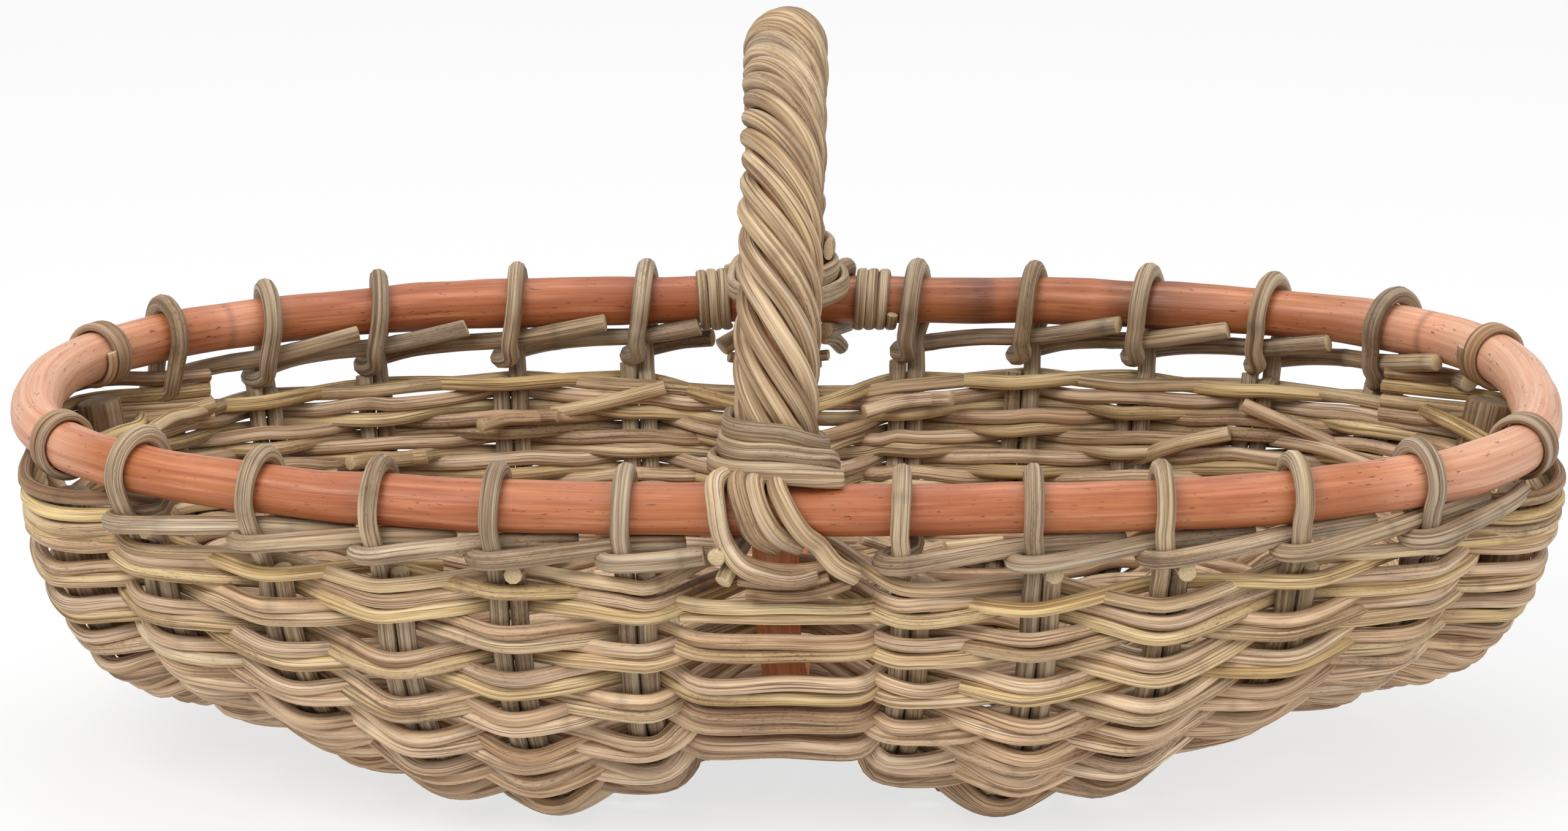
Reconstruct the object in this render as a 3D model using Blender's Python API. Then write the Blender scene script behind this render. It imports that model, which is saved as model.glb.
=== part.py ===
"""Flower basket: an oval cane basket with a rim pole, a wrapped hoop handle and a woven wall.

Lengths are metres. X runs along the basket, Y runs across it and +Z is up. The origin is
on the ground under the middle of the basket.
"""
import functools
import math

import bmesh
import bpy
import numpy as np

# Gaps left between canes that touch
SEAT_GAP = 0.0003
ROW_GAP = 0.0009
WIND_GAP = 0.0005
MAT_GAP = 0.0009
TURN_GAP = 0.0005

# Rim pole
RIM_HALF_LENGTH = 0.299
RIM_HALF_WIDTH = 0.149
RIM_ROD = 0.021
LEFT_END_POWER = 2.4
RIGHT_END_POWER = 2.8

# Middle surface of the woven wall, measured from the middle of the rim pole
WALL_INSET = 0.078
WALL_POWER = 2.4
LOBE_DEPTH = 0.1374
END_DEPTH = 0.111
ARCH_RISE = 0.025
ARCH_WIDTH_SHARE = 0.386
LOBE_END_SHARE = 0.30

# Handle hoop, runners and their posts
HOOP_ROD = 0.018
HOOP_CORNER = 0.045
ARCH_START = 0.012
RUNNER_ROD = 0.019
POST_WIDTH_SHARE = 0.43
POST_LEAN_SHARE = 0.55

# Stakes, named from left to right, with their places as shares of the rim's half length
STAKE_ROD = 0.007
FRONT_STAKE_SHARES = (-0.836, -0.672, -0.518, -0.368, -0.204, 0.147, 0.314, 0.478, 0.649, 0.813)
BACK_STAKE_SHARES = (-0.856, -0.722, -0.569, -0.378, -0.197, 0.184, 0.348, 0.508, 0.679, 0.843)
STAKE_WALL_SHARES = (1.0, 0.95, 0.87, 0.77, 0.65, 0.5, 0.34, 0.19)

# The end of a stake loops over the rim, turns round its own foot and runs to the next stake
LOOP_STEP = math.radians(40)
LOOP_FIRST = math.radians(-30)
LOOP_POINTS = 7
APPROACH_SHARES = (0.0, 0.10, -1.60)
INNER_LEG_SHARES = ((0.32, -0.71, -0.99), (0.45, -0.48, -1.48))
TUCK_CENTRE_SHARES = (0.0, 0.14, -1.59)
TUCK_GAP = 0.0008
TUCK_STEP = math.radians(45)
TUCK_POINTS = 5
RUN_SHARES = ((0.28, 0.55, -1.40), (0.6, 0.21, -1.13), (0.97, -0.13, -0.94))
RUN_PAST = 0.017
RUN_PAST_NEAR_FOOT = 0.003
RUN_SHORT_OF_FOOT = 0.031
RUN_SHORT_OF_POST = 0.018

# Weaver rows: each stands for two canes laid side by side, the top one for a single cane
WEAVER_ROD = 0.0055
PAIR_SPACING_SHARE = 0.71
LEG_SQUEEZE_SHARE = 0.14
ROW_COUNT = 13
TOP_ROW_DROP = 0.0335
FIRST_PAIR_DROP = 0.0425
LAST_PAIR_SHARE = 0.803
ROW_DIP = 0.006
LEVEL_SHARES = (0.25, 0.75)
BEND_HALF = 0.008
END_POINTS = 3

# Floor, with its cross sections as shares of its half length
FLOOR_SHARES = (0.09, 0.17, 0.25, 0.34, 0.44, 0.55, 0.67, 0.80, 0.93)
MAT_THICKNESS = 0.0051
MAT_FLAT_SHARES = (0.34, 0.44)

# Strands laid round the handle hoop
STRAND_COUNT = 8
STRAND_ROD = 0.0064
TURNS_TO_CROWN = 2.0
TURN_CHANGE_SHARE = 0.128
FOOT_LEVEL = 0.022
FLARE_PLACES = (-0.024, -0.0152, -0.006, 0.0025)
FLARE_STARTS = (math.radians(40), math.radians(50), math.radians(70), math.radians(75))
FLARE_END = math.radians(210)
FLARE_STEPS = 4
FLARE_DRIFT = 0.013
TAIL_SHARES = (0.50, -1.62)
TAIL_DRIFT = 0.017
TUCKED_END_LEVEL = 0.013
TUCKED_END_TURN = math.radians(-30)

# Winding that binds the strands above the rim
BINDING_ROD = 0.0068
BINDING_TOP = 0.041
BINDING_START = math.radians(200)
BINDING_SWEEP = math.radians(890)
BINDING_GROWTH = 0.0028
BINDING_POINTS = 14

# Windings round the rim pole
WRAP_ROD = 0.0042
WRAP_POINTS = 10
WRAP_LEFT_FROM = -0.0245
WRAP_LEFT_TURNS = 2.4
WRAP_FOOT_GAP = 0.0009
WRAP_STAKE_GAP = 0.0047
CORNER_ROD = 0.005
CORNER_TURNS = 2.0
CORNER_PITCH = 0.0069

# Resolution of the tubes, and the steps in which sizes are measured
RIM_POINTS = 56
MERIDIAN_POINTS = 181
ARC_TABLE_POINTS = 2001
ARCH_SEGMENTS = 24
CORNER_SEGMENTS = 5
LEG_SHARES = (0.5,)
RUNNER_WALL_SHARES = (0.2, 0.32, 0.44, 0.55, 0.66, 0.76, 0.85, 0.93)
GAP_PARTS = 4
MM_PER_METRE = 1000
SLOPE_PASSES = 2
OFFSET_STEP = 0.0002
OFFSET_REACH = 0.055
SLOPE_STEP = 0.0005

COPPER = (0.55, 0.15, 0.065)
HANDLE_CANE = (0.51, 0.38, 0.21)
STAKE_CANE = (0.33, 0.24, 0.14)
WEAVER_CANE = (0.44, 0.34, 0.20)
BINDING_CANE = (0.47, 0.36, 0.22)
CANE_ROUGHNESS = 0.62

RIM_RADIUS = RIM_ROD / 2
HOOP_RADIUS = HOOP_ROD / 2
RUNNER_RADIUS = RUNNER_ROD / 2
STAKE_RADIUS = STAKE_ROD / 2
STRAND_RADIUS = STRAND_ROD / 2
UP = np.array((0.0, 0.0, 1.0))
ALONG = np.array((1.0, 0.0, 0.0))


def smooth_step(value):
    """Rise smoothly from 0 to 1."""
    share = min(max(value, 0.0), 1.0)
    return share * share * (3 - 2 * share)


def unit(vector):
    return vector / np.linalg.norm(vector)


def oval(angle):
    """Point on the basket's plan outline, as shares of its half length and half width."""
    x, y = math.cos(angle), math.sin(angle)
    power = LEFT_END_POWER if x < 0 else RIGHT_END_POWER
    size = (abs(x) ** power + abs(y) ** power) ** (1 / power)
    return x / size, y / size


def angle_at(length_share, front):
    """Angle of the outline's point at a share of the half length."""
    power = LEFT_END_POWER if length_share < 0 else RIGHT_END_POWER
    width_share = (1 - abs(length_share) ** power) ** (1 / power)
    side = -1 if front else 1
    return math.atan2(side * width_share, length_share) % math.tau


def post_angle(left, front):
    """Angle of a corner post, which sits at a share of the half width."""
    power = LEFT_END_POWER if left else RIGHT_END_POWER
    length_share = (1 - POST_WIDTH_SHARE ** power) ** (1 / power)
    return angle_at(-length_share if left else length_share, front)


def arch_share(length_share):
    """Share of the arch's rise at a share of the half length."""
    if abs(length_share) > ARCH_WIDTH_SHARE:
        return 0.0
    return math.cos(math.pi / 2 * length_share / ARCH_WIDTH_SHARE) ** 2


def full_depth(length_share):
    """Depth of the floor before it arches up in the middle."""
    away = (abs(length_share) - LOBE_END_SHARE) / (1 - LOBE_END_SHARE)
    return LOBE_DEPTH - (LOBE_DEPTH - END_DEPTH) * smooth_step(away)


def floor_depth(length_share):
    """Depth of the stakes on the floor below the middle of the rim pole."""
    return full_depth(length_share) - ARCH_RISE * arch_share(length_share)


MAT_FLAT_DEPTH = max(floor_depth(float(share)) for share in np.linspace(*MAT_FLAT_SHARES, RIM_POINTS))
RIM_HEIGHT = MAT_FLAT_DEPTH + STAKE_RADIUS + MAT_GAP + MAT_THICKNESS
FLOOR_HALF_LENGTH = RIM_HALF_LENGTH - WALL_INSET
FLOOR_HALF_WIDTH = RIM_HALF_WIDTH - WALL_INSET
RUNNER_LIFT = RUNNER_RADIUS - STAKE_RADIUS
RUNNER_PLACE = FLOOR_HALF_WIDTH * POST_WIDTH_SHARE
LEG_PLACE = RIM_HALF_WIDTH - RIM_RADIUS - WIND_GAP - HOOP_RADIUS
CROSS_BAR_HEIGHT = RIM_HEIGHT - floor_depth(0) + RUNNER_LIFT + RUNNER_RADIUS + SEAT_GAP + HOOP_RADIUS
STRAND_CIRCLE = (HOOP_RADIUS + WIND_GAP + STRAND_RADIUS) / math.cos(math.pi / STRAND_COUNT)
LOOP_RADIUS = (RIM_RADIUS + STAKE_RADIUS + 2 * SEAT_GAP) / math.cos(LOOP_STEP / 2)


@functools.lru_cache(maxsize=None)
def meridian(angle):
    """Line down the wall's middle surface at one place of the outline, with its lengths."""
    x_share, y_share = oval(angle)
    points = []
    for turn in np.linspace(0, math.pi / 2, MERIDIAN_POINTS):
        inset = WALL_INSET * (1 - max(math.cos(turn), 0.0) ** (2 / WALL_POWER))
        down = math.sin(turn) ** (2 / WALL_POWER)
        depth = full_depth(x_share) * down - ARCH_RISE * arch_share(x_share) * down ** 2
        x_place = (RIM_HALF_LENGTH - inset) * x_share
        y_place = (RIM_HALF_WIDTH - inset) * y_share
        points.append((x_place, y_place, RIM_HEIGHT - depth))
    points = np.array(points)
    steps = np.linalg.norm(np.diff(points, axis=0), axis=1)
    return points, np.concatenate(([0.0], np.cumsum(steps)))


def wall_point(angle, share):
    """Point on the wall's middle surface at a share of the way from the rim to the floor."""
    points, lengths = meridian(angle)
    place = share * lengths[-1]
    return np.array([np.interp(place, lengths, points[:, axis]) for axis in range(3)])


def wall_frame(angle, share):
    """Point on the wall with the directions out of it and down it."""
    low = min(share, 1 - SLOPE_STEP)
    side = wall_point(angle + SLOPE_STEP, low) - wall_point(angle - SLOPE_STEP, low)
    down = unit(wall_point(angle, low + SLOPE_STEP) - wall_point(angle, low - SLOPE_STEP))
    outward = unit(np.cross(down, side))
    return wall_point(angle, share), outward, down


@functools.lru_cache(maxsize=None)
def rim_table():
    """Angles round the rim pole with the lengths along it, counterclockwise from the right end."""
    angles = np.linspace(0, math.tau, ARC_TABLE_POINTS)
    points = np.array([rim_point(angle) for angle in angles])
    steps = np.linalg.norm(np.diff(points, axis=0), axis=1)
    return angles, np.concatenate(([0.0], np.cumsum(steps)))


def rim_point(angle):
    x_share, y_share = oval(angle)
    return np.array((RIM_HALF_LENGTH * x_share, RIM_HALF_WIDTH * y_share, RIM_HEIGHT))


def rim_length(angle):
    """Length along the rim pole at an angle of the outline."""
    angles, lengths = rim_table()
    return float(np.interp(angle % math.tau, angles, lengths))


def rim_frame(length):
    """Point on the rim pole's axis with the directions along it and out of the basket."""
    angles, lengths = rim_table()
    angle = float(np.interp(length % lengths[-1], lengths, angles))
    forward = unit(rim_point(angle + SLOPE_STEP) - rim_point(angle - SLOPE_STEP))
    return rim_point(angle), forward, np.cross(forward, UP)


def beside_rim(length, out, rise):
    """Point at a distance out from the rim pole's axis and above it."""
    point, _, outward = rim_frame(length)
    return point + outward * out + UP * rise


def segment_distance(point, path):
    """Distance from a point to a line of straight pieces."""
    start, end = path[:-1], path[1:]
    run = end - start
    share = np.clip(((point - start) * run).sum(1) / (run * run).sum(1), 0, 1)
    return float(np.linalg.norm(start + run * share[:, None] - point, axis=1).min())


def make_material(name, colour):
    """Plain cane surface in one colour."""
    material = bpy.data.materials.new(name)
    material.use_nodes = True
    shader = material.node_tree.nodes["Principled BSDF"]
    shader.inputs["Base Color"].default_value = (*colour, 1)
    shader.inputs["Roughness"].default_value = CANE_ROUGHNESS
    shader.inputs["Metallic"].default_value = 0
    return material


def add_object(name, data, colour):
    data.materials.append(make_material(name, colour))
    made = bpy.data.objects.new(name, data)
    bpy.context.collection.objects.link(made)
    return made


def add_cane(name, points, diameter, colour, resolution=1, closed=False):
    """Round cane along a line of points, as one unbroken tube with flat ends."""
    curve = bpy.data.curves.new(name, "CURVE")
    curve.dimensions = "3D"
    curve.bevel_depth = diameter / 2
    curve.bevel_resolution = resolution
    curve.use_fill_caps = not closed
    curve.render_resolution_u = 0
    line = curve.splines.new("POLY")
    line.points.add(len(points) - 1)
    for spot, point in zip(line.points, points):
        spot.co = (*point, 1)
    line.use_cyclic_u = closed
    return add_object(name, curve, colour)


def dense_line(points):
    """Points all along a line of straight pieces, with their lengths along it."""
    points = np.array(points)
    lengths = np.concatenate(([0.0], np.cumsum(np.linalg.norm(np.diff(points, axis=0), axis=1))))
    steps = np.arange(GAP_PARTS * (len(points) - 1) + 1) / GAP_PARTS
    places = np.interp(steps, np.arange(len(points)), lengths)
    return np.array([np.interp(places, lengths, points[:, axis]) for axis in range(3)]).T, places


def turn_gap(points, diameter):
    """Least gap between a winding's turns, between points over half a turn of cane apart on it."""
    line, places = dense_line(points)
    apart = np.linalg.norm(line[:, None] - line[None], axis=2)
    far = np.abs(places[:, None] - places[None]) > math.pi * diameter
    return (float(apart[far].min()) - diameter) * MM_PER_METRE


def strand_gap(paths):
    """Least gap between neighbouring strands of the handle."""
    lines = [dense_line(path)[0] for path in paths]
    gaps = [np.linalg.norm(line[:, None] - other[None], axis=2).min()
            for line, other in zip(lines, lines[1:] + lines[:1])]
    return (float(min(gaps)) - STRAND_ROD) * MM_PER_METRE


def post_lean(share):
    """How far a post's axis lies inside the wall's middle surface."""
    return RUNNER_LIFT * smooth_step((share - POST_LEAN_SHARE) / (1 - POST_LEAN_SHARE))


def post_point(angle, share):
    point, outward, _ = wall_frame(angle, share)
    return point - outward * post_lean(share)


def wrap_circle(rod):
    """Radius of the corners of a winding round the rim pole."""
    return (RIM_RADIUS + WIND_GAP + rod / 2) / math.cos(math.pi / WRAP_POINTS)


def post_top(angle):
    """Head of a corner post, just under the winding round the rim."""
    return rim_point(angle) - UP * (wrap_circle(CORNER_ROD) + CORNER_ROD / 2 + WIND_GAP)


def floor_stations():
    """Cross sections of the floor from left to right."""
    return [-share for share in reversed(FLOOR_SHARES)] + [0, *FLOOR_SHARES]


def floor_point(length_share, width_place, lift):
    height = RIM_HEIGHT - floor_depth(length_share) + lift
    return np.array((length_share * FLOOR_HALF_LENGTH, width_place, height))


def runner_path(front):
    """Line of a lengthwise cane that runs along the floor and rises to a post at each end."""
    width_place = -RUNNER_PLACE if front else RUNNER_PLACE
    left, right = post_angle(True, front), post_angle(False, front)
    down = [post_top(left)] + [post_point(left, share) for share in RUNNER_WALL_SHARES]
    floor = [floor_point(share, width_place, RUNNER_LIFT) for share in floor_stations()]
    up = [post_point(right, share) for share in reversed(RUNNER_WALL_SHARES)] + [post_top(right)]
    return np.array(down + floor + up)


def hoop_path():
    """Closed line of the handle hoop: an arch, two legs and a bar across the floor."""
    arch_height = RIM_HEIGHT + ARCH_START
    points = []
    for step in range(ARCH_SEGMENTS + 1):
        turn = math.pi * step / ARCH_SEGMENTS
        y_place, rise = -LEG_PLACE * math.cos(turn), LEG_PLACE * math.sin(turn)
        points.append((0, y_place, arch_height + rise))
    corner_height = CROSS_BAR_HEIGHT + HOOP_CORNER
    for share in LEG_SHARES:
        points.append((0, LEG_PLACE, arch_height + (corner_height - arch_height) * share))
    for side in (1, -1):
        corner_place = side * (LEG_PLACE - HOOP_CORNER)
        for step in range(CORNER_SEGMENTS + 1):
            turn = math.pi / 2 * step / CORNER_SEGMENTS
            turn = turn if side > 0 else math.pi / 2 - turn
            y_place = corner_place + side * HOOP_CORNER * math.cos(turn)
            points.append((0, y_place, corner_height - HOOP_CORNER * math.sin(turn)))
    for share in LEG_SHARES:
        points.append((0, -LEG_PLACE, corner_height + (arch_height - corner_height) * share))
    return np.array(points)


def stake_floor_end(angle):
    """End of a stake on the floor, against the side of the runner."""
    foot = wall_point(angle, 1)
    side = math.copysign(1, foot[1])
    return np.array((foot[0], side * (RUNNER_PLACE + RUNNER_RADIUS + SEAT_GAP), foot[2]))


def loop_points(start):
    """Stake's loop over the rim pole, its turn round its own foot and back to the outside."""
    along, out, rise = (share * LOOP_RADIUS for share in APPROACH_SHARES)
    points = [beside_rim(start + along, out, rise)]
    for step in range(LOOP_POINTS):
        turn = LOOP_FIRST + LOOP_STEP * step
        points.append(beside_rim(start, LOOP_RADIUS * math.cos(turn), LOOP_RADIUS * math.sin(turn)))
    for shares in INNER_LEG_SHARES:
        along, out, rise = (share * LOOP_RADIUS for share in shares)
        points.append(beside_rim(start + along, out, rise))
    _, middle, rise = (share * LOOP_RADIUS for share in TUCK_CENTRE_SHARES)
    radius = (STAKE_ROD + TUCK_GAP) / math.cos(TUCK_STEP / 2)
    for step in range(TUCK_POINTS):
        turn = TUCK_STEP * step
        points.append(beside_rim(start - radius * math.sin(turn), middle - radius * math.cos(turn), rise))
    return points


def run_points(start, gap, length):
    """Rest of a stake's end, rising under the rim pole towards the next upright."""
    places = [share * gap for share, _, _ in RUN_SHARES]
    outs = [out * LOOP_RADIUS for _, out, _ in RUN_SHARES]
    rises = [rise * LOOP_RADIUS for _, _, rise in RUN_SHARES]
    stops = [place for place in places if place < length - STAKE_ROD] + [length]
    return [
        beside_rim(start + stop, np.interp(stop, places, outs), np.interp(stop, places, rises))
        for stop in stops
    ]


def stake_path(angle, gap, length):
    """Line of a stake from the floor, up the wall, over the rim and along to the next upright."""
    start = rim_length(angle)
    wall = [wall_point(angle, share) for share in STAKE_WALL_SHARES]
    return np.array([stake_floor_end(angle), *wall, *loop_points(start), *run_points(start, gap, length)])


def list_uprights():
    """Every upright that the weavers pass, counterclockwise from the front left post."""
    front_shares, back_shares = FRONT_STAKE_SHARES, BACK_STAKE_SHARES
    front = [("stake", f"stake_front_{number + 1}", angle_at(share, True))
             for number, share in enumerate(front_shares)]
    back = [("stake", f"stake_back_{number + 1}", angle_at(share, False))
            for number, share in enumerate(back_shares)]
    front_middle = sum(share < 0 for share in front_shares)
    back_middle = sum(share < 0 for share in back_shares)
    front.insert(front_middle, ("leg", "handle_hoop", angle_at(0, True)))
    back.insert(back_middle, ("leg", "handle_hoop", angle_at(0, False)))
    for row, runner, at_front in ((front, "runner_front", True), (back, "runner_back", False)):
        row.insert(0, ("post", runner, post_angle(True, at_front)))
        row.append(("post", runner, post_angle(False, at_front)))
    return front + back[::-1]


def stake_lines(uprights):
    """Line of each stake by its name."""
    lines = {}
    around = rim_table()[1][-1]
    for number, (kind, name, angle) in enumerate(uprights):
        if kind != "stake":
            continue
        following = uprights[(number + 1) % len(uprights)]
        gap = (rim_length(following[2]) - rim_length(angle)) % around
        past = {"stake": RUN_PAST, "leg": -RUN_SHORT_OF_FOOT, "post": -RUN_SHORT_OF_POST}[following[0]]
        if uprights[(number + 2) % len(uprights)][0] == "leg":
            past = RUN_PAST_NEAR_FOOT
        lines[name] = stake_path(angle, gap, gap + past)
    return lines


def clear_offset(frame, outside, path, radius, height):
    """Offset from the wall's middle surface at which a weaver just clears an upright."""
    point, outward, down = frame
    offsets = np.arange(-OFFSET_REACH, OFFSET_REACH, OFFSET_STEP)
    gaps = []
    for offset in offsets:
        face = offset - WEAVER_ROD / 2 if outside else offset + WEAVER_ROD / 2
        edges = [point + outward * face + down * place for place in (-height / 2, 0, height / 2)]
        gaps.append(min(segment_distance(edge, path) for edge in edges) - radius)
    middle = int(np.argmin(gaps))
    places = range(middle, len(offsets)) if outside else range(middle, -1, -1)
    return next(float(offsets[place]) for place in places if gaps[place] >= ROW_GAP)


def row_step(angle):
    """Share of the way down the wall from one pair of weavers to the next."""
    first_share = FIRST_PAIR_DROP / meridian(angle)[1][-1]
    return (LAST_PAIR_SHARE - first_share) / (ROW_COUNT - 2)


def row_share(row, angle):
    """Place of a weaver row down the wall, dipping a little past the handle's legs."""
    length = meridian(angle)[1][-1]
    share = TOP_ROW_DROP / length if row == 0 else FIRST_PAIR_DROP / length + row_step(angle) * (row - 1)
    return share + ROW_DIP / length * arch_share(oval(angle)[0]) * (1 - share)


def row_height(row, angle):
    """The top row is a single cane; the pairs are tighter where they cross beside the legs."""
    if row == 0:
        return WEAVER_ROD
    filled = PAIR_SPACING_SHARE - LEG_SQUEEZE_SHARE * arch_share(oval(angle)[0])
    return row_step(angle) * meridian(angle)[1][-1] * filled


def under_cross_bar(row, angle):
    """Whether a row is too low to pass inside the handle's leg, over the bar across the floor."""
    height = wall_point(angle, row_share(row, angle))[2] - row_height(row, angle) / 2
    return height - ROW_GAP < CROSS_BAR_HEIGHT + HOOP_RADIUS + WEAVER_ROD


def upright_bend(kind, angle, share):
    """Half of the angle over which a weaver runs flat past a thick upright."""
    if kind == "stake":
        return 0.0
    step = np.linalg.norm(wall_point(angle + SLOPE_STEP, share) - wall_point(angle, share))
    return BEND_HALF / step * SLOPE_STEP


def pass_offset(row, upright, outside, lines, slope):
    """Vector by which a weaver passes an upright; a steep weaver needs more room."""
    kind, name, angle = upright
    share = row_share(row, angle)
    point, outward, down = wall_frame(angle, share)
    path, radius = lines[name][: len(STAKE_WALL_SHARES) + 2], STAKE_RADIUS * math.hypot(1, slope)
    if kind != "stake":
        half = upright_bend(kind, angle, share)
        point = (wall_point(angle - half, share) + wall_point(angle + half, share)) / 2
        path, radius = lines[name], HOOP_RADIUS if kind == "leg" else RUNNER_RADIUS
    under_leg = kind == "leg" and under_cross_bar(row, angle)
    at_leg = kind == "leg" and not under_leg
    level = 1 if at_leg else 1 - smooth_step((share - LEVEL_SHARES[0]) / (LEVEL_SHARES[1] - LEVEL_SHARES[0]))
    direction = unit(outward - UP * outward[2] * level)
    frame = (point, direction, down)
    offset = clear_offset(frame, outside or under_leg, path, radius, row_height(row, angle))
    return direction * (max(offset, STAKE_RADIUS + SEAT_GAP + WEAVER_ROD / 2) if under_leg else offset)


def weaver_stations(row, uprights, lines):
    """Angles round the wall where a weaver bends, with its offset from the middle surface."""
    leg_number = next(number for number, upright in enumerate(uprights) if upright[0] == "leg")
    sides = [(number - leg_number + row) % 2 == 0 for number in range(len(uprights))]
    places = [wall_point(angle, row_share(row, angle)) for _, _, angle in uprights]
    halves = [upright_bend(kind, angle, row_share(row, angle)) for kind, _, angle in uprights]
    slopes = [0.0] * len(uprights)
    for _ in range(SLOPE_PASSES):
        offsets = [pass_offset(row, *each, lines, slope) for *each, slope in zip(uprights, sides, slopes)]
        slopes = []
        for number in range(len(uprights)):
            steepest = 0.0
            for near in (number - 1, (number + 1) % len(uprights)):
                run = np.linalg.norm(places[near] - places[number]) - (BEND_HALF if halves[near] else 0)
                steepest = max(steepest, np.linalg.norm(offsets[near] - offsets[number]) / run)
            slopes.append(steepest)
    stations = []
    for (_, _, angle), half, offset in zip(uprights, halves, offsets):
        for place in (-half, half) if half else (0.0,):
            stations.append((angle + place, offset))
    return with_end_points(stations)


def with_end_points(stations):
    """Add bends round the two ends of the basket, where no upright stands."""
    full = []
    for start, end in zip(stations, stations[1:] + stations[:1]):
        full.append(start)
        turn = (end[0] - start[0]) % math.tau
        ends_basket = math.cos(start[0]) * math.cos(end[0]) > 0 > math.sin(start[0]) * math.sin(end[0])
        if not ends_basket:
            continue
        for step in range(1, END_POINTS + 1):
            share = step / (END_POINTS + 1)
            full.append((start[0] + turn * share, start[1] + (end[1] - start[1]) * share))
    return full


def add_weaver_row(name, row, uprights, lines):
    """Closed wavy ring of woven cane with a flat section, four faces round."""
    mesh = bpy.data.meshes.new(name)
    shape = bmesh.new()
    loops = []
    for angle, offset in weaver_stations(row, uprights, lines):
        point, outward, down = wall_frame(angle, row_share(row, angle))
        middle = point + offset
        thick, tall = outward * WEAVER_ROD / 2, down * row_height(row, angle) / 2
        corners = (middle + thick - tall, middle + thick + tall, middle - thick + tall, middle - thick - tall)
        loops.append([shape.verts.new(corner) for corner in corners])
    for loop, following in zip(loops, loops[1:] + loops[:1]):
        for first, second in ((0, 1), (1, 2), (2, 3), (3, 0)):
            shape.faces.new((loop[first], loop[second], following[second], following[first]))
    bmesh.ops.recalc_face_normals(shape, faces=shape.faces)
    shape.to_mesh(mesh)
    shape.free()
    return add_object(name, mesh, WEAVER_CANE)


def mat_tops():
    """Heights of the mat's top at its cross sections, lower where the runners on it slope."""
    shares = floor_stations()
    line = np.array([floor_point(share, 0, RUNNER_LIFT) for share in shares])
    slopes = np.abs(np.diff(line[:, 2]) / np.diff(line[:, 0]))
    steepest = np.maximum(np.append(slopes, 0), np.insert(slopes, 0, 0))
    tops = line[:, 2] - (RUNNER_RADIUS + MAT_GAP) * np.hypot(1, steepest)
    flat = [MAT_FLAT_SHARES[0] <= abs(share) <= MAT_FLAT_SHARES[1] for share in shares]
    return np.where(flat, MAT_THICKNESS, tops)


def add_base_mat():
    """Oval mat under the stakes, arched up in the middle and flat under its two lobes."""
    mesh = bpy.data.meshes.new("base_mat")
    shape = bmesh.new()
    loops = []
    for share, top in zip(floor_stations(), mat_tops()):
        power = LEFT_END_POWER if share < 0 else RIGHT_END_POWER
        width = FLOOR_HALF_WIDTH * (1 - abs(share) ** power) ** (1 / power)
        x_place = share * FLOOR_HALF_LENGTH
        corners = ((-width, top), (width, top), (width, top - MAT_THICKNESS), (-width, top - MAT_THICKNESS))
        loops.append([shape.verts.new((x_place, y_place, height)) for y_place, height in corners])
    for loop, following in zip(loops, loops[1:]):
        for first, second in ((0, 1), (1, 2), (2, 3), (3, 0)):
            shape.faces.new((loop[first], loop[second], following[second], following[first]))
    shape.faces.new(loops[0])
    shape.faces.new(loops[-1])
    bmesh.ops.recalc_face_normals(shape, faces=shape.faces)
    shape.to_mesh(mesh)
    shape.free()
    return add_object("base_mat", mesh, WEAVER_CANE)


def hoop_frame(place):
    """Point on the hoop's axis above the rim, with the direction out of the arch."""
    arch_length = math.pi * LEG_PLACE
    if place < ARCH_START:
        return np.array((0, -LEG_PLACE, RIM_HEIGHT + place)), np.array((0.0, -1.0, 0.0))
    if place > ARCH_START + arch_length:
        height = RIM_HEIGHT + 2 * ARCH_START + arch_length - place
        return np.array((0, LEG_PLACE, height)), np.array((0.0, 1.0, 0.0))
    turn = (place - ARCH_START) / LEG_PLACE
    outward = np.array((0, -math.cos(turn), math.sin(turn)))
    return np.array((0, 0, RIM_HEIGHT + ARCH_START)) + outward * LEG_PLACE, outward


def strand_crown(turned):
    """Points of a strand round the hoop, from the front foot over the crown to the back foot."""
    crown = ARCH_START + math.pi / 2 * LEG_PLACE
    steps = round(TURNS_TO_CROWN * STRAND_COUNT)
    points = []
    for step in range(2 * steps + 1):
        done = min(step, 2 * steps - step) / steps
        slow = 1 - TURN_CHANGE_SHARE
        share = (math.sqrt(slow ** 2 + 4 * TURN_CHANGE_SHARE * done) - slow) / (2 * TURN_CHANGE_SHARE)
        place = FOOT_LEVEL + (crown - FOOT_LEVEL) * share
        place = place if step <= steps else 2 * crown - place
        centre, outward = hoop_frame(place)
        turn = turned + math.tau * step / STRAND_COUNT
        points.append(centre + (ALONG * math.cos(turn) + outward * math.sin(turn)) * STRAND_CIRCLE)
    return points


def flare_foot(number):
    """Foot of an outer strand: it spreads over the outside of the rim and tucks in under it."""
    widest_step = (FLARE_END - FLARE_STARTS[0]) / FLARE_STEPS
    circle = (RIM_RADIUS + WIND_GAP + STRAND_RADIUS) / math.cos(widest_step / 2)
    points = []
    for step in range(FLARE_STEPS + 1):
        share = step / FLARE_STEPS
        turn = FLARE_STARTS[number] + (FLARE_END - FLARE_STARTS[number]) * share
        y_place = -RIM_HALF_WIDTH + circle * math.cos(turn)
        height = RIM_HEIGHT + circle * math.sin(turn)
        points.append(np.array((FLARE_PLACES[number] + FLARE_DRIFT * share, y_place, height)))
    out, rise = (share * circle for share in TAIL_SHARES)
    tail = (FLARE_PLACES[number] + TAIL_DRIFT, -RIM_HALF_WIDTH - out, RIM_HEIGHT + rise)
    return points + [np.array(tail)]


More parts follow.
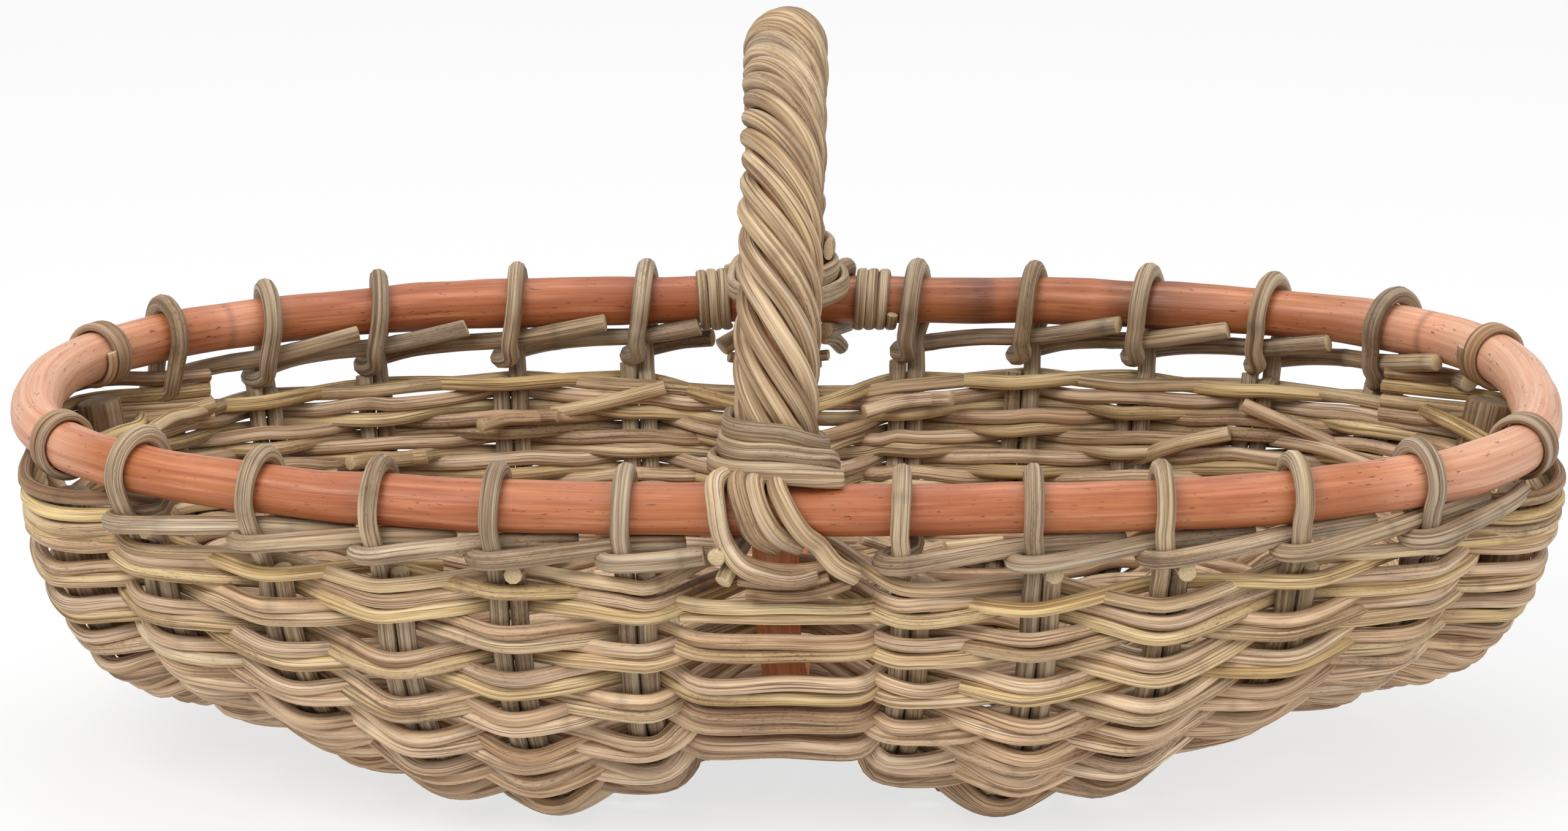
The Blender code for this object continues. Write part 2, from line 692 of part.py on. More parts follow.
def tucked_foot(turned):
    """Foot of an inner strand, which ends under the binding."""
    centre, outward = hoop_frame(TUCKED_END_LEVEL)
    turn = turned + TUCKED_END_TURN
    return [centre + (ALONG * math.cos(turn) + outward * math.sin(turn)) * STRAND_CIRCLE]


def strand_path(number):
    """Line of one of the strands, whose front foot and back foot are alike, turned half round."""
    back_number = (STRAND_COUNT // 2 - number) % STRAND_COUNT
    ends = []
    for place in (number, back_number):
        turned = math.pi - math.tau * place / STRAND_COUNT
        flares = place < len(FLARE_PLACES)
        ends.append(flare_foot(place) if flares else tucked_foot(turned))
    front, back = ends
    crown = strand_crown(math.pi - math.tau * number / STRAND_COUNT)
    half_turn = np.array((-1.0, -1.0, 1.0))
    return np.array(front[::-1] + crown + [point * half_turn for point in back])


def binding_path(front):
    """Winding that holds the strands to the leg above the rim, wider towards its low end."""
    bundle = STRAND_CIRCLE + STRAND_RADIUS
    circle = (bundle + WIND_GAP + BINDING_ROD / 2) / math.cos(math.pi / BINDING_POINTS)
    steps = round(BINDING_SWEEP / math.tau * BINDING_POINTS)
    side = 1 if front else -1
    points = []
    for step in range(steps + 1):
        turned = BINDING_SWEEP * step / steps
        turn = BINDING_START - turned
        radius = circle + BINDING_GROWTH * step / steps
        height = RIM_HEIGHT + BINDING_TOP - (BINDING_ROD + TURN_GAP) * turned / math.tau
        across = -LEG_PLACE - radius * math.sin(turn)
        points.append(np.array((side * radius * math.cos(turn), side * across, height)))
    return points


def rim_winding(start, turns, rod, pitch):
    """Winding round the rim pole from a length along it."""
    circle = wrap_circle(rod)
    steps = round(abs(turns) * WRAP_POINTS)
    points = []
    for step in range(steps + 1):
        turned = abs(turns) * step / steps
        place = start + math.copysign(pitch * turned, turns)
        turn = math.tau * turned
        points.append(beside_rim(place, -circle * math.sin(turn), -circle * math.cos(turn)))
    return points


def add_winding(name, points, rod, colour):
    """One unbroken winding, whose least gap to itself is printed."""
    print(f"{name}: least gap between turns {turn_gap(points, rod):.2f} mm")
    return add_cane(name, points, rod, colour)


def add_frame(lines):
    """Rim pole, handle hoop and the two runners."""
    rim = [rim_point(math.tau * step / RIM_POINTS) for step in range(RIM_POINTS)]
    add_cane("rim_hoop", rim, RIM_ROD, COPPER, resolution=3, closed=True)
    add_cane("handle_hoop", lines["handle_hoop"], HOOP_ROD, COPPER, resolution=2, closed=True)
    add_cane("runner_front", lines["runner_front"], RUNNER_ROD, COPPER, resolution=2)
    add_cane("runner_back", lines["runner_back"], RUNNER_ROD, COPPER, resolution=2)


def add_handle_wrapping():
    """Strands round the hoop and the bindings at its two feet."""
    paths = [strand_path(number) for number in range(STRAND_COUNT)]
    print(f"handle_strand: least gap between strands {strand_gap(paths):.2f} mm")
    for number, path in enumerate(paths):
        add_cane(f"handle_strand_{number + 1}", path, STRAND_ROD, HANDLE_CANE)
    add_winding("foot_binding_front", binding_path(True), BINDING_ROD, BINDING_CANE)
    add_winding("foot_binding_back", binding_path(False), BINDING_ROD, BINDING_CANE)


def add_rim_windings():
    """Windings on the back of the rim beside the handle, and over the corner posts."""
    middle = rim_length(angle_at(0, False))
    stake = rim_length(angle_at(min(share for share in BACK_STAKE_SHARES if share > 0), False))
    pitch = WRAP_ROD + TURN_GAP
    beside_foot = middle + FLARE_PLACES[0] - STRAND_RADIUS - WRAP_FOOT_GAP - WRAP_ROD / 2
    beside_stake = stake + STAKE_RADIUS + WRAP_STAKE_GAP + WRAP_ROD / 2
    left = rim_winding(middle - WRAP_LEFT_FROM, WRAP_LEFT_TURNS, WRAP_ROD, pitch)
    right = rim_winding(beside_foot, (beside_stake - beside_foot) / pitch, WRAP_ROD, pitch)
    add_winding("rim_wrap_left", left, WRAP_ROD, BINDING_CANE)
    add_winding("rim_wrap_right", right, WRAP_ROD, BINDING_CANE)
    for number, (at_left, front) in enumerate(((True, True), (False, True), (False, False), (True, False))):
        start = rim_length(post_angle(at_left, front)) - CORNER_TURNS * CORNER_PITCH / 2
        winding = rim_winding(start, CORNER_TURNS, CORNER_ROD, CORNER_PITCH)
        add_winding(f"corner_wrap_{number + 1}", winding, CORNER_ROD, BINDING_CANE)


def build_basket():
    for old in list(bpy.data.objects):
        bpy.data.objects.remove(old)
    uprights = list_uprights()
    lines = stake_lines(uprights)
    for name, line in lines.items():
        add_cane(name, line, STAKE_ROD, STAKE_CANE)
    lines["handle_hoop"] = hoop_path()
    lines["runner_front"] = runner_path(True)
    lines["runner_back"] = runner_path(False)
    add_frame(lines)
    add_handle_wrapping()
    add_rim_windings()
    lines["handle_hoop"] = np.concatenate((lines["handle_hoop"], lines["handle_hoop"][:1]))
    for row in range(ROW_COUNT):
        add_weaver_row(f"weaver_row_{row + 1:02d}", row, uprights, lines)
    add_base_mat()


build_basket()
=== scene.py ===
"""Looks of the flower basket: canes woven, looped, twisted and bound round copper red poles.

Lengths are metres in the frame's own axes: X along the basket, Y across it, +Z up.
"""
import functools
import math

import bpy
import numpy as np
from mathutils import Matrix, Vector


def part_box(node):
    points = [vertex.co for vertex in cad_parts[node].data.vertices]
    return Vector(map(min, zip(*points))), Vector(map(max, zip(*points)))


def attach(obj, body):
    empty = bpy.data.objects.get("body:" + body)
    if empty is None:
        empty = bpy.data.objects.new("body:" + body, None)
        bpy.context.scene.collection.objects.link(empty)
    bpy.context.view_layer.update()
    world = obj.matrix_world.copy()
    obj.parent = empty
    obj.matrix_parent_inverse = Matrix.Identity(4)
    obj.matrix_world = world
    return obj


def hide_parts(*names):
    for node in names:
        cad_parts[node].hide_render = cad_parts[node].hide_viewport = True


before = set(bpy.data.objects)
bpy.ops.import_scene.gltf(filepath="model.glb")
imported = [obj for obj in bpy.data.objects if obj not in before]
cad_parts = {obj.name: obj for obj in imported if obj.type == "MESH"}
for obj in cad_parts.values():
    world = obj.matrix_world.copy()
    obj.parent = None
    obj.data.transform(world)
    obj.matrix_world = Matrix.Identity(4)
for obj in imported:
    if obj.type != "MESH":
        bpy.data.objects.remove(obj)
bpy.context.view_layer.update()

MM = 0.001
UP = np.array((0.0, 0.0, 1.0))
ALONG = np.array((1.0, 0.0, 0.0))

# Sizes that come from the frame
rim_low, rim_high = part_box("rim_hoop")
RIM_ROD = rim_high.z - rim_low.z
RIM_RADIUS = RIM_ROD / 2
RIM_HEIGHT = (rim_high.z + rim_low.z) / 2
RIM_HALF_LENGTH = (rim_high.x - rim_low.x - RIM_ROD) / 2
RIM_HALF_WIDTH = (rim_high.y - rim_low.y - RIM_ROD) / 2
hoop_low, hoop_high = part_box("handle_hoop")
HOOP_ROD = hoop_high.x - hoop_low.x
HOOP_RADIUS = HOOP_ROD / 2
LEG_PLACE = (hoop_high.y - hoop_low.y - HOOP_ROD) / 2
CROSS_BAR_HEIGHT = hoop_low.z + HOOP_RADIUS
CROWN_HEIGHT = hoop_high.z - HOOP_RADIUS
MAT_THICKNESS = 5.1 * MM

# The basket's outline and its wall
LEFT_END_POWER = 2.4
RIGHT_END_POWER = 2.8
WALL_INSET = 0.078
WALL_POWER = 2.4
DEPTH_PLACES = (-1, -0.836, -0.672, -0.518, -0.368, -0.25, 0.33, 0.478, 0.649, 0.813, 1)
DEPTHS = (0.102, 0.107, 0.12, 0.1325, 0.1367, 0.1374, 0.1374, 0.131, 0.111, 0.1, 0.096)
ARCH_RISE = 0.025
ARCH_WIDTH_SHARE = 0.386
MERIDIAN_POINTS = 161
SLOPE_STEP = 0.0005
FLOOR_HALF_LENGTH = RIM_HALF_LENGTH - WALL_INSET
FLOOR_HALF_WIDTH = RIM_HALF_WIDTH - WALL_INSET

# Handle hoop, runners and posts
HOOP_CORNER = 0.045
ARCH_START = 0.012
RUNNER_ROD = 0.019
RUNNER_RADIUS = RUNNER_ROD / 2
POST_WIDTH_SHARE = 0.43
POST_LEAN_SHARE = 0.55
RUNNER_WALL_SHARES = (0.2, 0.32, 0.44, 0.55, 0.66, 0.76, 0.85, 0.93)
FLOOR_SHARES = (0.09, 0.17, 0.25, 0.34, 0.44, 0.55, 0.67, 0.80, 0.93)
MAT_FLAT_SHARES = (0.34, 0.44)

# Stakes
STAKE_ROD = 0.0075
STAKE_RADIUS = STAKE_ROD / 2
RUNNER_LIFT = RUNNER_RADIUS - STAKE_RADIUS
FRONT_STAKE_SHARES = (-0.836, -0.672, -0.518, -0.368, -0.204, 0.147, 0.314, 0.478, 0.649, 0.813)
BACK_STAKE_SHARES = (-0.856, -0.722, -0.569, -0.378, -0.197, 0.184, 0.348, 0.508, 0.679, 0.843)
STAKE_WALL_SHARES = (1.0, 0.95, 0.87, 0.77, 0.65, 0.5, 0.34, 0.19)
LINER_PLACE = 7.6 * MM

# Weavers
WEAVER_ROD = 0.0061
ROW_COUNT = 13
TOP_ROW_DROP = 0.0335
FIRST_PAIR_DROP = 0.0425
LAST_PAIR_SHARE = 0.803
ROW_DIP = 0.006
PASS_OFFSET = 7.0 * MM
# How much lower each row lies at the front stakes that it passes outside than an even spacing, in mm
ROW_SHIFTS = (
    (-2.5, -1.4, 3.8, -1.9),
    (-7.5, -0.8, -7.0, -7.7, 5.7, -5.5),
    (-4.4, -0.9, 1.7, 0.0),
    (-3.4, 4.9, -3.4, -6.4, 5.8, -8.2),
    (-1.9, 0.8, 2.6, 1.1),
    (-1.7, 6.7, 2.2, -4.7, 6.7, -7.8),
    (-1.8, -0.2, 2.6, 2.6),
    (-4.5, 5.4, 7.1, -1.3, 4.1, -8.6),
    (-1.4, 1.5, 0.8, 3.0),
    (-6.7, 4.1, 8.0, 4.0, 2.4, -10.5),
    (-5.0, -2.1, -3.6, 0.0),
    (-2.6, 2.0, 7.0, 3.0, 2.0, -7.9),
    (2.0, 2.0, 2.0, 0.0))
SECOND_SINGLE_SHIFTS = (-4.0, -1.5, -7.4, -8.0, 4.6, -9.0)
# Distance from the middle and height at which rows pass the front leg
FRONT_LEG_PASSES = {0: (0.1495, 0.1080), 2: (0.1475, 0.0904), 4: (0.1435, 0.0717), 6: (0.136, 0.0570),
                    8: (0.127, 0.0431), 1: (0.1166, 0.1118), 3: (0.1166, 0.0917)}


def srgb(red, green, blue):
    """Colour from its usual eight bit numbers."""
    shares = np.array((red, green, blue)) / 255
    return np.where(shares <= 0.04045, shares / 12.92, ((shares + 0.055) / 1.055) ** 2.4)


def smooth_step(value):
    share = np.clip(value, 0, 1)
    return share * share * (3 - 2 * share)


def unit(vector):
    return vector / np.linalg.norm(vector)


def oval(angle):
    """Point on the basket's plan outline, as shares of its half length and half width."""
    x, y = math.cos(angle), math.sin(angle)
    power = LEFT_END_POWER if x < 0 else RIGHT_END_POWER
    size = (abs(x) ** power + abs(y) ** power) ** (1 / power)
    return x / size, y / size


def angle_at(length_share, front):
    """Angle of the outline's point at a share of the half length."""
    power = LEFT_END_POWER if length_share < 0 else RIGHT_END_POWER
    width_share = (1 - abs(length_share) ** power) ** (1 / power)
    return math.atan2(-width_share if front else width_share, length_share) % math.tau


def post_angle(left, front):
    """Angle of a corner post, which sits at a share of the half width."""
    power = LEFT_END_POWER if left else RIGHT_END_POWER
    length_share = (1 - POST_WIDTH_SHARE ** power) ** (1 / power)
    return angle_at(-length_share if left else length_share, front)


def arch_share(length_share):
    """Share of the arch's rise at a share of the half length."""
    if abs(length_share) > ARCH_WIDTH_SHARE:
        return 0.0
    return math.cos(math.pi / 2 * length_share / ARCH_WIDTH_SHARE) ** 2


def full_depth(length_share):
    """Depth of the floor before it arches up in the middle."""
    return float(np.interp(length_share, DEPTH_PLACES, DEPTHS))


def floor_depth(length_share):
    return full_depth(length_share) - ARCH_RISE * arch_share(length_share)


@functools.lru_cache(maxsize=None)
def meridian(angle):
    """Line down the wall's middle surface at one place of the outline, with its lengths."""
    x_share, y_share = oval(angle)
    turn = np.linspace(0, math.pi / 2, MERIDIAN_POINTS)
    inset = WALL_INSET * (1 - np.maximum(np.cos(turn), 0) ** (2 / WALL_POWER))
    down = np.sin(turn) ** (2 / WALL_POWER)
    depth = full_depth(x_share) * down - ARCH_RISE * arch_share(x_share) * down ** 2
    places = ((RIM_HALF_LENGTH - inset) * x_share, (RIM_HALF_WIDTH - inset) * y_share, RIM_HEIGHT - depth)
    points = np.stack(places, axis=1)
    steps = np.linalg.norm(np.diff(points, axis=0), axis=1)
    return points, np.concatenate(([0.0], np.cumsum(steps)))


def wall_length(angle):
    return meridian(angle)[1][-1]


def wall_point(angle, share):
    """Point on the wall's middle surface at a share of the way from the rim to the floor."""
    points, lengths = meridian(angle)
    place = share * lengths[-1]
    return np.array([np.interp(place, lengths, points[:, axis]) for axis in range(3)])


def wall_frame(angle, share):
    """Point on the wall with the directions out of it and down it."""
    low = min(share, 1 - SLOPE_STEP)
    side = wall_point(angle + SLOPE_STEP, low) - wall_point(angle - SLOPE_STEP, low)
    down = unit(wall_point(angle, low + SLOPE_STEP) - wall_point(angle, low - SLOPE_STEP))
    outward = unit(np.cross(down, side))
    return wall_point(angle, share), outward, down


def beside_wall(angle, share, along, out):
    """Point beside the wall's surface, a length along the wall from an angle of the outline."""
    step = np.linalg.norm(wall_point(angle + SLOPE_STEP, share) - wall_point(angle, share)) / SLOPE_STEP
    point, outward, _ = wall_frame(angle + along / step, share)
    return point + outward * out


def rim_point(angle):
    x_share, y_share = oval(angle)
    return np.array((RIM_HALF_LENGTH * x_share, RIM_HALF_WIDTH * y_share, RIM_HEIGHT))


@functools.lru_cache(maxsize=None)
def rim_table():
    """Angles round the rim pole with the lengths along it, counterclockwise from the right end."""
    angles = np.linspace(0, math.tau, 2001)
    points = np.array([rim_point(angle) for angle in angles])
    steps = np.linalg.norm(np.diff(points, axis=0), axis=1)
    return angles, np.concatenate(([0.0], np.cumsum(steps)))


def rim_length(angle):
    angles, lengths = rim_table()
    return float(np.interp(angle % math.tau, angles, lengths))


def beside_rim(length, out, rise):
    """Point at a distance out from the rim pole's axis and above it."""
    angles, lengths = rim_table()
    angle = float(np.interp(length % lengths[-1], lengths, angles))
    forward = unit(rim_point(angle + SLOPE_STEP) - rim_point(angle - SLOPE_STEP))
    return rim_point(angle) + np.cross(forward, UP) * out + UP * rise


def floor_point(length_share, width_place, lift):
    height = RIM_HEIGHT - floor_depth(length_share) + lift
    return np.array((length_share * FLOOR_HALF_LENGTH, width_place, height))


def smooth_line(points, step, closed=False):
    """Even points along a smooth curve through the given ones."""
    points = np.asarray(points, float)
    if closed:
        points = np.vstack((points[-1:], points, points[:2]))
    else:
        points = np.vstack((2 * points[0] - points[1], points, 2 * points[-1] - points[-2]))
    spans = np.linalg.norm(np.diff(points[:, :3], axis=0), axis=1) ** 0.5 + 1e-9
    fine = []
    for number in range(1, len(points) - 2):
        before, start, end, after = points[number - 1: number + 3]
        first, middle, last = spans[number - 1: number + 2]
        leaving = (start - before) / first - (end - before) / (first + middle) + (end - start) / middle
        arriving = (end - start) / middle - (after - start) / (middle + last) + (after - end) / last
        count = max(4, int(middle ** 2 / step * 3))
        share = (np.arange(count) / count)[:, None]
        fine.append(start * (2 * share ** 3 - 3 * share ** 2 + 1) + end * (3 * share ** 2 - 2 * share ** 3)
                    + middle * (leaving * (share ** 3 - 2 * share ** 2 + share)
                                + arriving * (share ** 3 - share ** 2)))
    fine.append(points[-2][None])
    fine = np.vstack(fine)
    lengths = np.concatenate(([0.0], np.cumsum(np.linalg.norm(np.diff(fine[:, :3], axis=0), axis=1))))
    count = max(3, round(lengths[-1] / step))
    places = np.linspace(0, lengths[-1], count + 1)
    even = np.stack([np.interp(places, lengths, fine[:, axis]) for axis in range(fine.shape[1])], axis=1)
    return (even[:-1], places[:-1]) if closed else (even, places)


def waver(random, places, spacing):
    """Smooth random values from about -1 to 1 along a line, with a new one at every spacing."""
    knots = random.uniform(-1, 1, int(places[-1] / spacing) + 4)
    spots = places / spacing + random.uniform(0, 1)
    low = spots.astype(int)
    share = smooth_step(spots - low)
    return knots[low] * (1 - share) + knots[low + 1] * share


def line_frames(line, normals, closed):
    """Directions along, to the side and out at each point, with little twist unless normals are given."""
    ahead = np.roll(line, -1, axis=0) - np.roll(line, 1, axis=0)
    if not closed:
        ahead[0], ahead[-1] = line[1] - line[0], line[-1] - line[-2]
    ahead /= np.linalg.norm(ahead, axis=1)[:, None]
    if normals is None:
        start = UP if abs(ahead[0] @ UP) < 0.9 else ALONG
        outs = [start]
        for number in range(1, len(line)):
            outs.append(outs[-1] - ahead[number] * (outs[-1] @ ahead[number]))
            outs[-1] = outs[-1] / np.linalg.norm(outs[-1])
        normals = np.array(outs)
    outs = normals - ahead * (normals * ahead).sum(1)[:, None]
    outs /= np.linalg.norm(outs, axis=1)[:, None]
    return ahead, np.cross(ahead, outs), outs


class Cane:
    """One cane: a smooth rod or split strip along a line, with its own colour, grain and cut ends."""

    def __init__(self, points, rod, look, seed, wide=1.0, normals=None, closed=False, sides=10,
                 step=3.5 * MM, wobble=0.3 * MM, square=2.0, nodes=90 * MM, slant=0.25):
        random = np.random.default_rng(seed)
        stations = np.hstack((points, normals)) if normals is not None else np.asarray(points)
        line, places = smooth_line(stations, step, closed)
        if normals is not None:
            line, normals = line[:, :3], line[:, 3:]
        ahead, side, out = line_frames(line, normals, closed)
        fade = np.ones(len(line)) if not closed else smooth_step(np.minimum(places, places[-1] - places) / 0.03)
        line = line + (side * waver(random, places, 21 * MM)[:, None]
                       + out * waver(random, places, 26 * MM)[:, None]) * (wobble * fade)[:, None]
        swell = 1 + 0.035 * waver(random, places, 17 * MM) * fade + 0.03 * waver(random, places, 60 * MM) * fade
        self.rings(places, random, nodes, fade)
        swell = swell + 0.05 * self.node
        turns = np.arange(sides) * math.tau / sides
        shape = (np.abs(np.cos(turns)) ** square + np.abs(np.sin(turns)) ** square) ** (-1 / square)
        across, thick = shape * np.sin(turns), shape * np.cos(turns)
        radius = rod / 2 * swell
        verts = (line[:, None] + side[:, None] * (across[None, :, None] * radius[:, None, None] * wide)
                 + out[:, None] * (thick[None, :, None] * radius[:, None, None]))
        shift = random.uniform(0, 400, 3)
        grain = np.empty_like(verts)
        grain[..., 0] = across * rod / 2 * wide / MM + shift[0]
        grain[..., 1] = thick * rod / 2 / MM + shift[1]
        grain[..., 2] = places[:, None] / MM + shift[2]
        tint = self.colours(look, places, random, fade)
        self.line = line
        self.verts, self.grain = verts.reshape(-1, 3), grain.reshape(-1, 3)
        self.tint = np.repeat(tint, sides, axis=0)
        self.cut = np.zeros(len(self.verts))
        count = len(line)
        ring = np.arange(sides)
        last = count if closed else count - 1
        rows = np.arange(last)[:, None] * sides
        next_rows = (np.arange(1, last + 1)[:, None] % count) * sides
        faces = np.stack((rows + ring, rows + (ring + 1) % sides, next_rows + (ring + 1) % sides,
                          next_rows + ring), axis=-1).reshape(-1, 4)
        self.faces = faces.tolist()
        if not closed:
            for at_end in (False, True):
                self.cut_end(at_end, line, ahead, side, sides, count, slant * random.uniform(-1, 1), rod)

    def rings(self, places, random, spacing, fade):
        """Low rings where the cane had its leaves."""
        self.node = np.zeros(len(places))
        if not spacing:
            return
        spot = random.uniform(0.2, 1) * spacing
        while spot < places[-1]:
            self.node += np.exp(-((places - spot) / (1.6 * MM)) ** 2) * fade
            spot += spacing * random.uniform(0.7, 1.4)

    def colours(self, look, places, random, fade):
        """Colour at each ring: the cane's own shade, drifting along it, darker at its nodes."""
        light, dark, warm = (np.array(colour) for colour in look)
        share = np.clip(0.35 + 0.3 * random.uniform(-1, 1) + 0.28 * waver(random, places, 70 * MM) * fade
                        + 0.12 * waver(random, places, 18 * MM) * fade, 0, 1)[:, None]
        warmth = np.clip(0.25 + 0.35 * random.uniform(-1, 1) + 0.3 * waver(random, places, 110 * MM) * fade,
                         0, 1)[:, None]
        colour = light * (1 - share) + dark * share
        colour = colour * (1 - 0.6 * warmth) + warm * 0.6 * warmth
        return colour * (1 - 0.3 * self.node[:, None])

    def cut_end(self, at_end, line, ahead, side, sides, count, slant, rod):
        """Close one end with a small worn edge and a pale cut face."""
        base = (count - 1) * sides if at_end else 0
        way = ahead[-1] if at_end else -ahead[0]
        centre = line[-1] if at_end else line[0]
        edge = self.verts[base: base + sides]
        tilt = side[-1 if at_end else 0]
        lean = ((edge - centre) @ tilt)[:, None] * slant * way
        self.verts[base: base + sides] = edge + lean * (1 if rod < 12 * MM else 0)
        edge = self.verts[base: base + sides]
        inner = centre + (edge - centre) * 0.9 + way * rod * 0.04
        start = len(self.verts)
        self.verts = np.vstack((self.verts, inner, (centre + way * rod * 0.045)[None]))
        self.grain = np.vstack((self.grain, self.grain[base: base + sides] + (0, 0, rod * 0.05 / MM),
                                self.grain[base: base + sides].mean(0)[None]))
        self.tint = np.vstack((self.tint, self.tint[base: base + sides], self.tint[base][None]))
        self.cut = np.concatenate((self.cut, np.ones(sides + 1)))
        middle = start + sides
        for number in range(sides):
            following = (number + 1) % sides
            first, second = base + number, base + following
            third, fourth = start + following, start + number
            if at_end:
                self.faces += [[first, second, third, fourth], [fourth, third, middle]]
            else:
                self.faces += [[second, first, fourth, third], [third, fourth, middle]]


def make_piece(name, canes, finish, slot, *nodes):
    """One mesh of a group of canes, which rides on the basket and stands for its nodes."""
    mesh = bpy.data.meshes.new(name)
    faces, start = [], 0
    for cane in canes:
        faces += [[corner + start for corner in face] for face in cane.faces]
        start += len(cane.verts)
    verts = np.vstack([cane.verts for cane in canes])
    mesh.from_pydata(verts.tolist(), [], faces)
    for attribute, kind, values in (
            ("grain", "FLOAT_VECTOR", np.vstack([cane.grain for cane in canes])),
            ("tint", "FLOAT_COLOR", np.hstack((np.vstack([cane.tint for cane in canes]), np.ones((start, 1))))),
            ("cut", "FLOAT", np.concatenate([cane.cut for cane in canes]))):
        field = {"FLOAT_VECTOR": "vector", "FLOAT_COLOR": "color", "FLOAT": "value"}[kind]
        mesh.attributes.new(attribute, kind, "POINT").data.foreach_set(
            field, np.ascontiguousarray(values, dtype=np.float32).ravel())
    mesh.materials.append(finish)
    mesh.shade_smooth()
    made = bpy.data.objects.new(name, mesh)
    bpy.context.scene.collection.objects.link(made)
    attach(made, "root")
    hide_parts(*nodes)
    return made


# Colours of the canes: pale, dark and warm shades
COPPER = (srgb(186, 121, 74), srgb(158, 88, 49), srgb(190, 131, 84))
# Handle pole's copper, painted lighter than the rim's: painted light on the legs, which lie in the wall's shade
PAINTED_LIGHT_LEG_COPPER = (srgb(218, 143, 88), srgb(188, 108, 61), srgb(222, 153, 98))
PALE_COPPER = srgb(222, 182, 154)
# Darker copper for a stretch at the back of the rim: partly stain, partly painted shade
STAIN_AND_SHADE_COPPER = srgb(104, 62, 40)
RUNNER_BROWN = (srgb(160, 130, 94), srgb(118, 92, 64), srgb(168, 128, 86))
HANDLE_CANE = (srgb(216, 190, 153), srgb(158, 128, 94), srgb(216, 184, 134))
STAKE_CANE = (srgb(204, 184, 154), srgb(142, 120, 94), srgb(200, 170, 126))
WEAVER_GREY = (srgb(240, 214, 181), srgb(182, 150, 118), srgb(234, 194, 146))
WEAVER_MILD = (srgb(234, 210, 168), srgb(192, 162, 122), srgb(236, 203, 146))
WEAVER_STRAW = (srgb(238, 214, 162), srgb(204, 172, 118), srgb(242, 210, 142))
BINDING_CANE = (srgb(204, 184, 150), srgb(150, 124, 92), srgb(206, 176, 126))
CORNER_CANE = (srgb(182, 150, 112), srgb(124, 92, 64), srgb(190, 142, 96))
CUT_PITH = srgb(214, 188, 146)


class Finish:
    """A material for cane, built up node by node."""

    def __init__(self, name):
        self.material = bpy.data.materials.new(name)
        self.material.use_nodes = True
        self.tree = self.material.node_tree
        self.shader = self.tree.nodes["Principled BSDF"]

    def add(self, kind, inputs=(), **values):
        node = self.tree.nodes.new(kind)
        for name, value in values.items():
            setattr(node, name, value)
        for name, value in dict(inputs).items():
            if isinstance(value, bpy.types.NodeSocket):
                self.tree.links.new(value, node.inputs[name])
            else:
                node.inputs[name].default_value = value
        return node

    def attribute(self, name, output):
        return self.add("ShaderNodeAttribute", attribute_name=name).outputs[output]

    def noise(self, vector, stretch, scale, detail=2.0):
        """Noise along the cane, drawn out lengthwise, from about 0 to 1."""
        placed = self.add("ShaderNodeMapping", {"Vector": vector, "Scale": (1, 1, stretch)})
        made = self.add("ShaderNodeTexNoise", {
            "Vector": placed.outputs["Vector"], "Scale": scale, "Detail": detail, "Roughness": 0.55})
        return made.outputs["Fac"]

    def spread(self, value, low, high, to_low=0.0, to_high=1.0):
        made = self.add("ShaderNodeMapRange", {
            "Value": value, "From Min": low, "From Max": high, "To Min": to_low, "To Max": to_high})
        return made.outputs["Result"]

    def mix(self, share, first, second, blend="MIX"):
        made = self.add("ShaderNodeMix", data_type="RGBA", blend_type=blend)
        for socket, value in ((made.inputs[0], share), (made.inputs[6], first), (made.inputs[7], second)):
            if isinstance(value, bpy.types.NodeSocket):
                self.tree.links.new(value, socket)
            else:
                socket.default_value = value
        return made.outputs[2]


def colour_of(shades, strength=1.0):
    return (*(float(part) * strength for part in shades), 1)


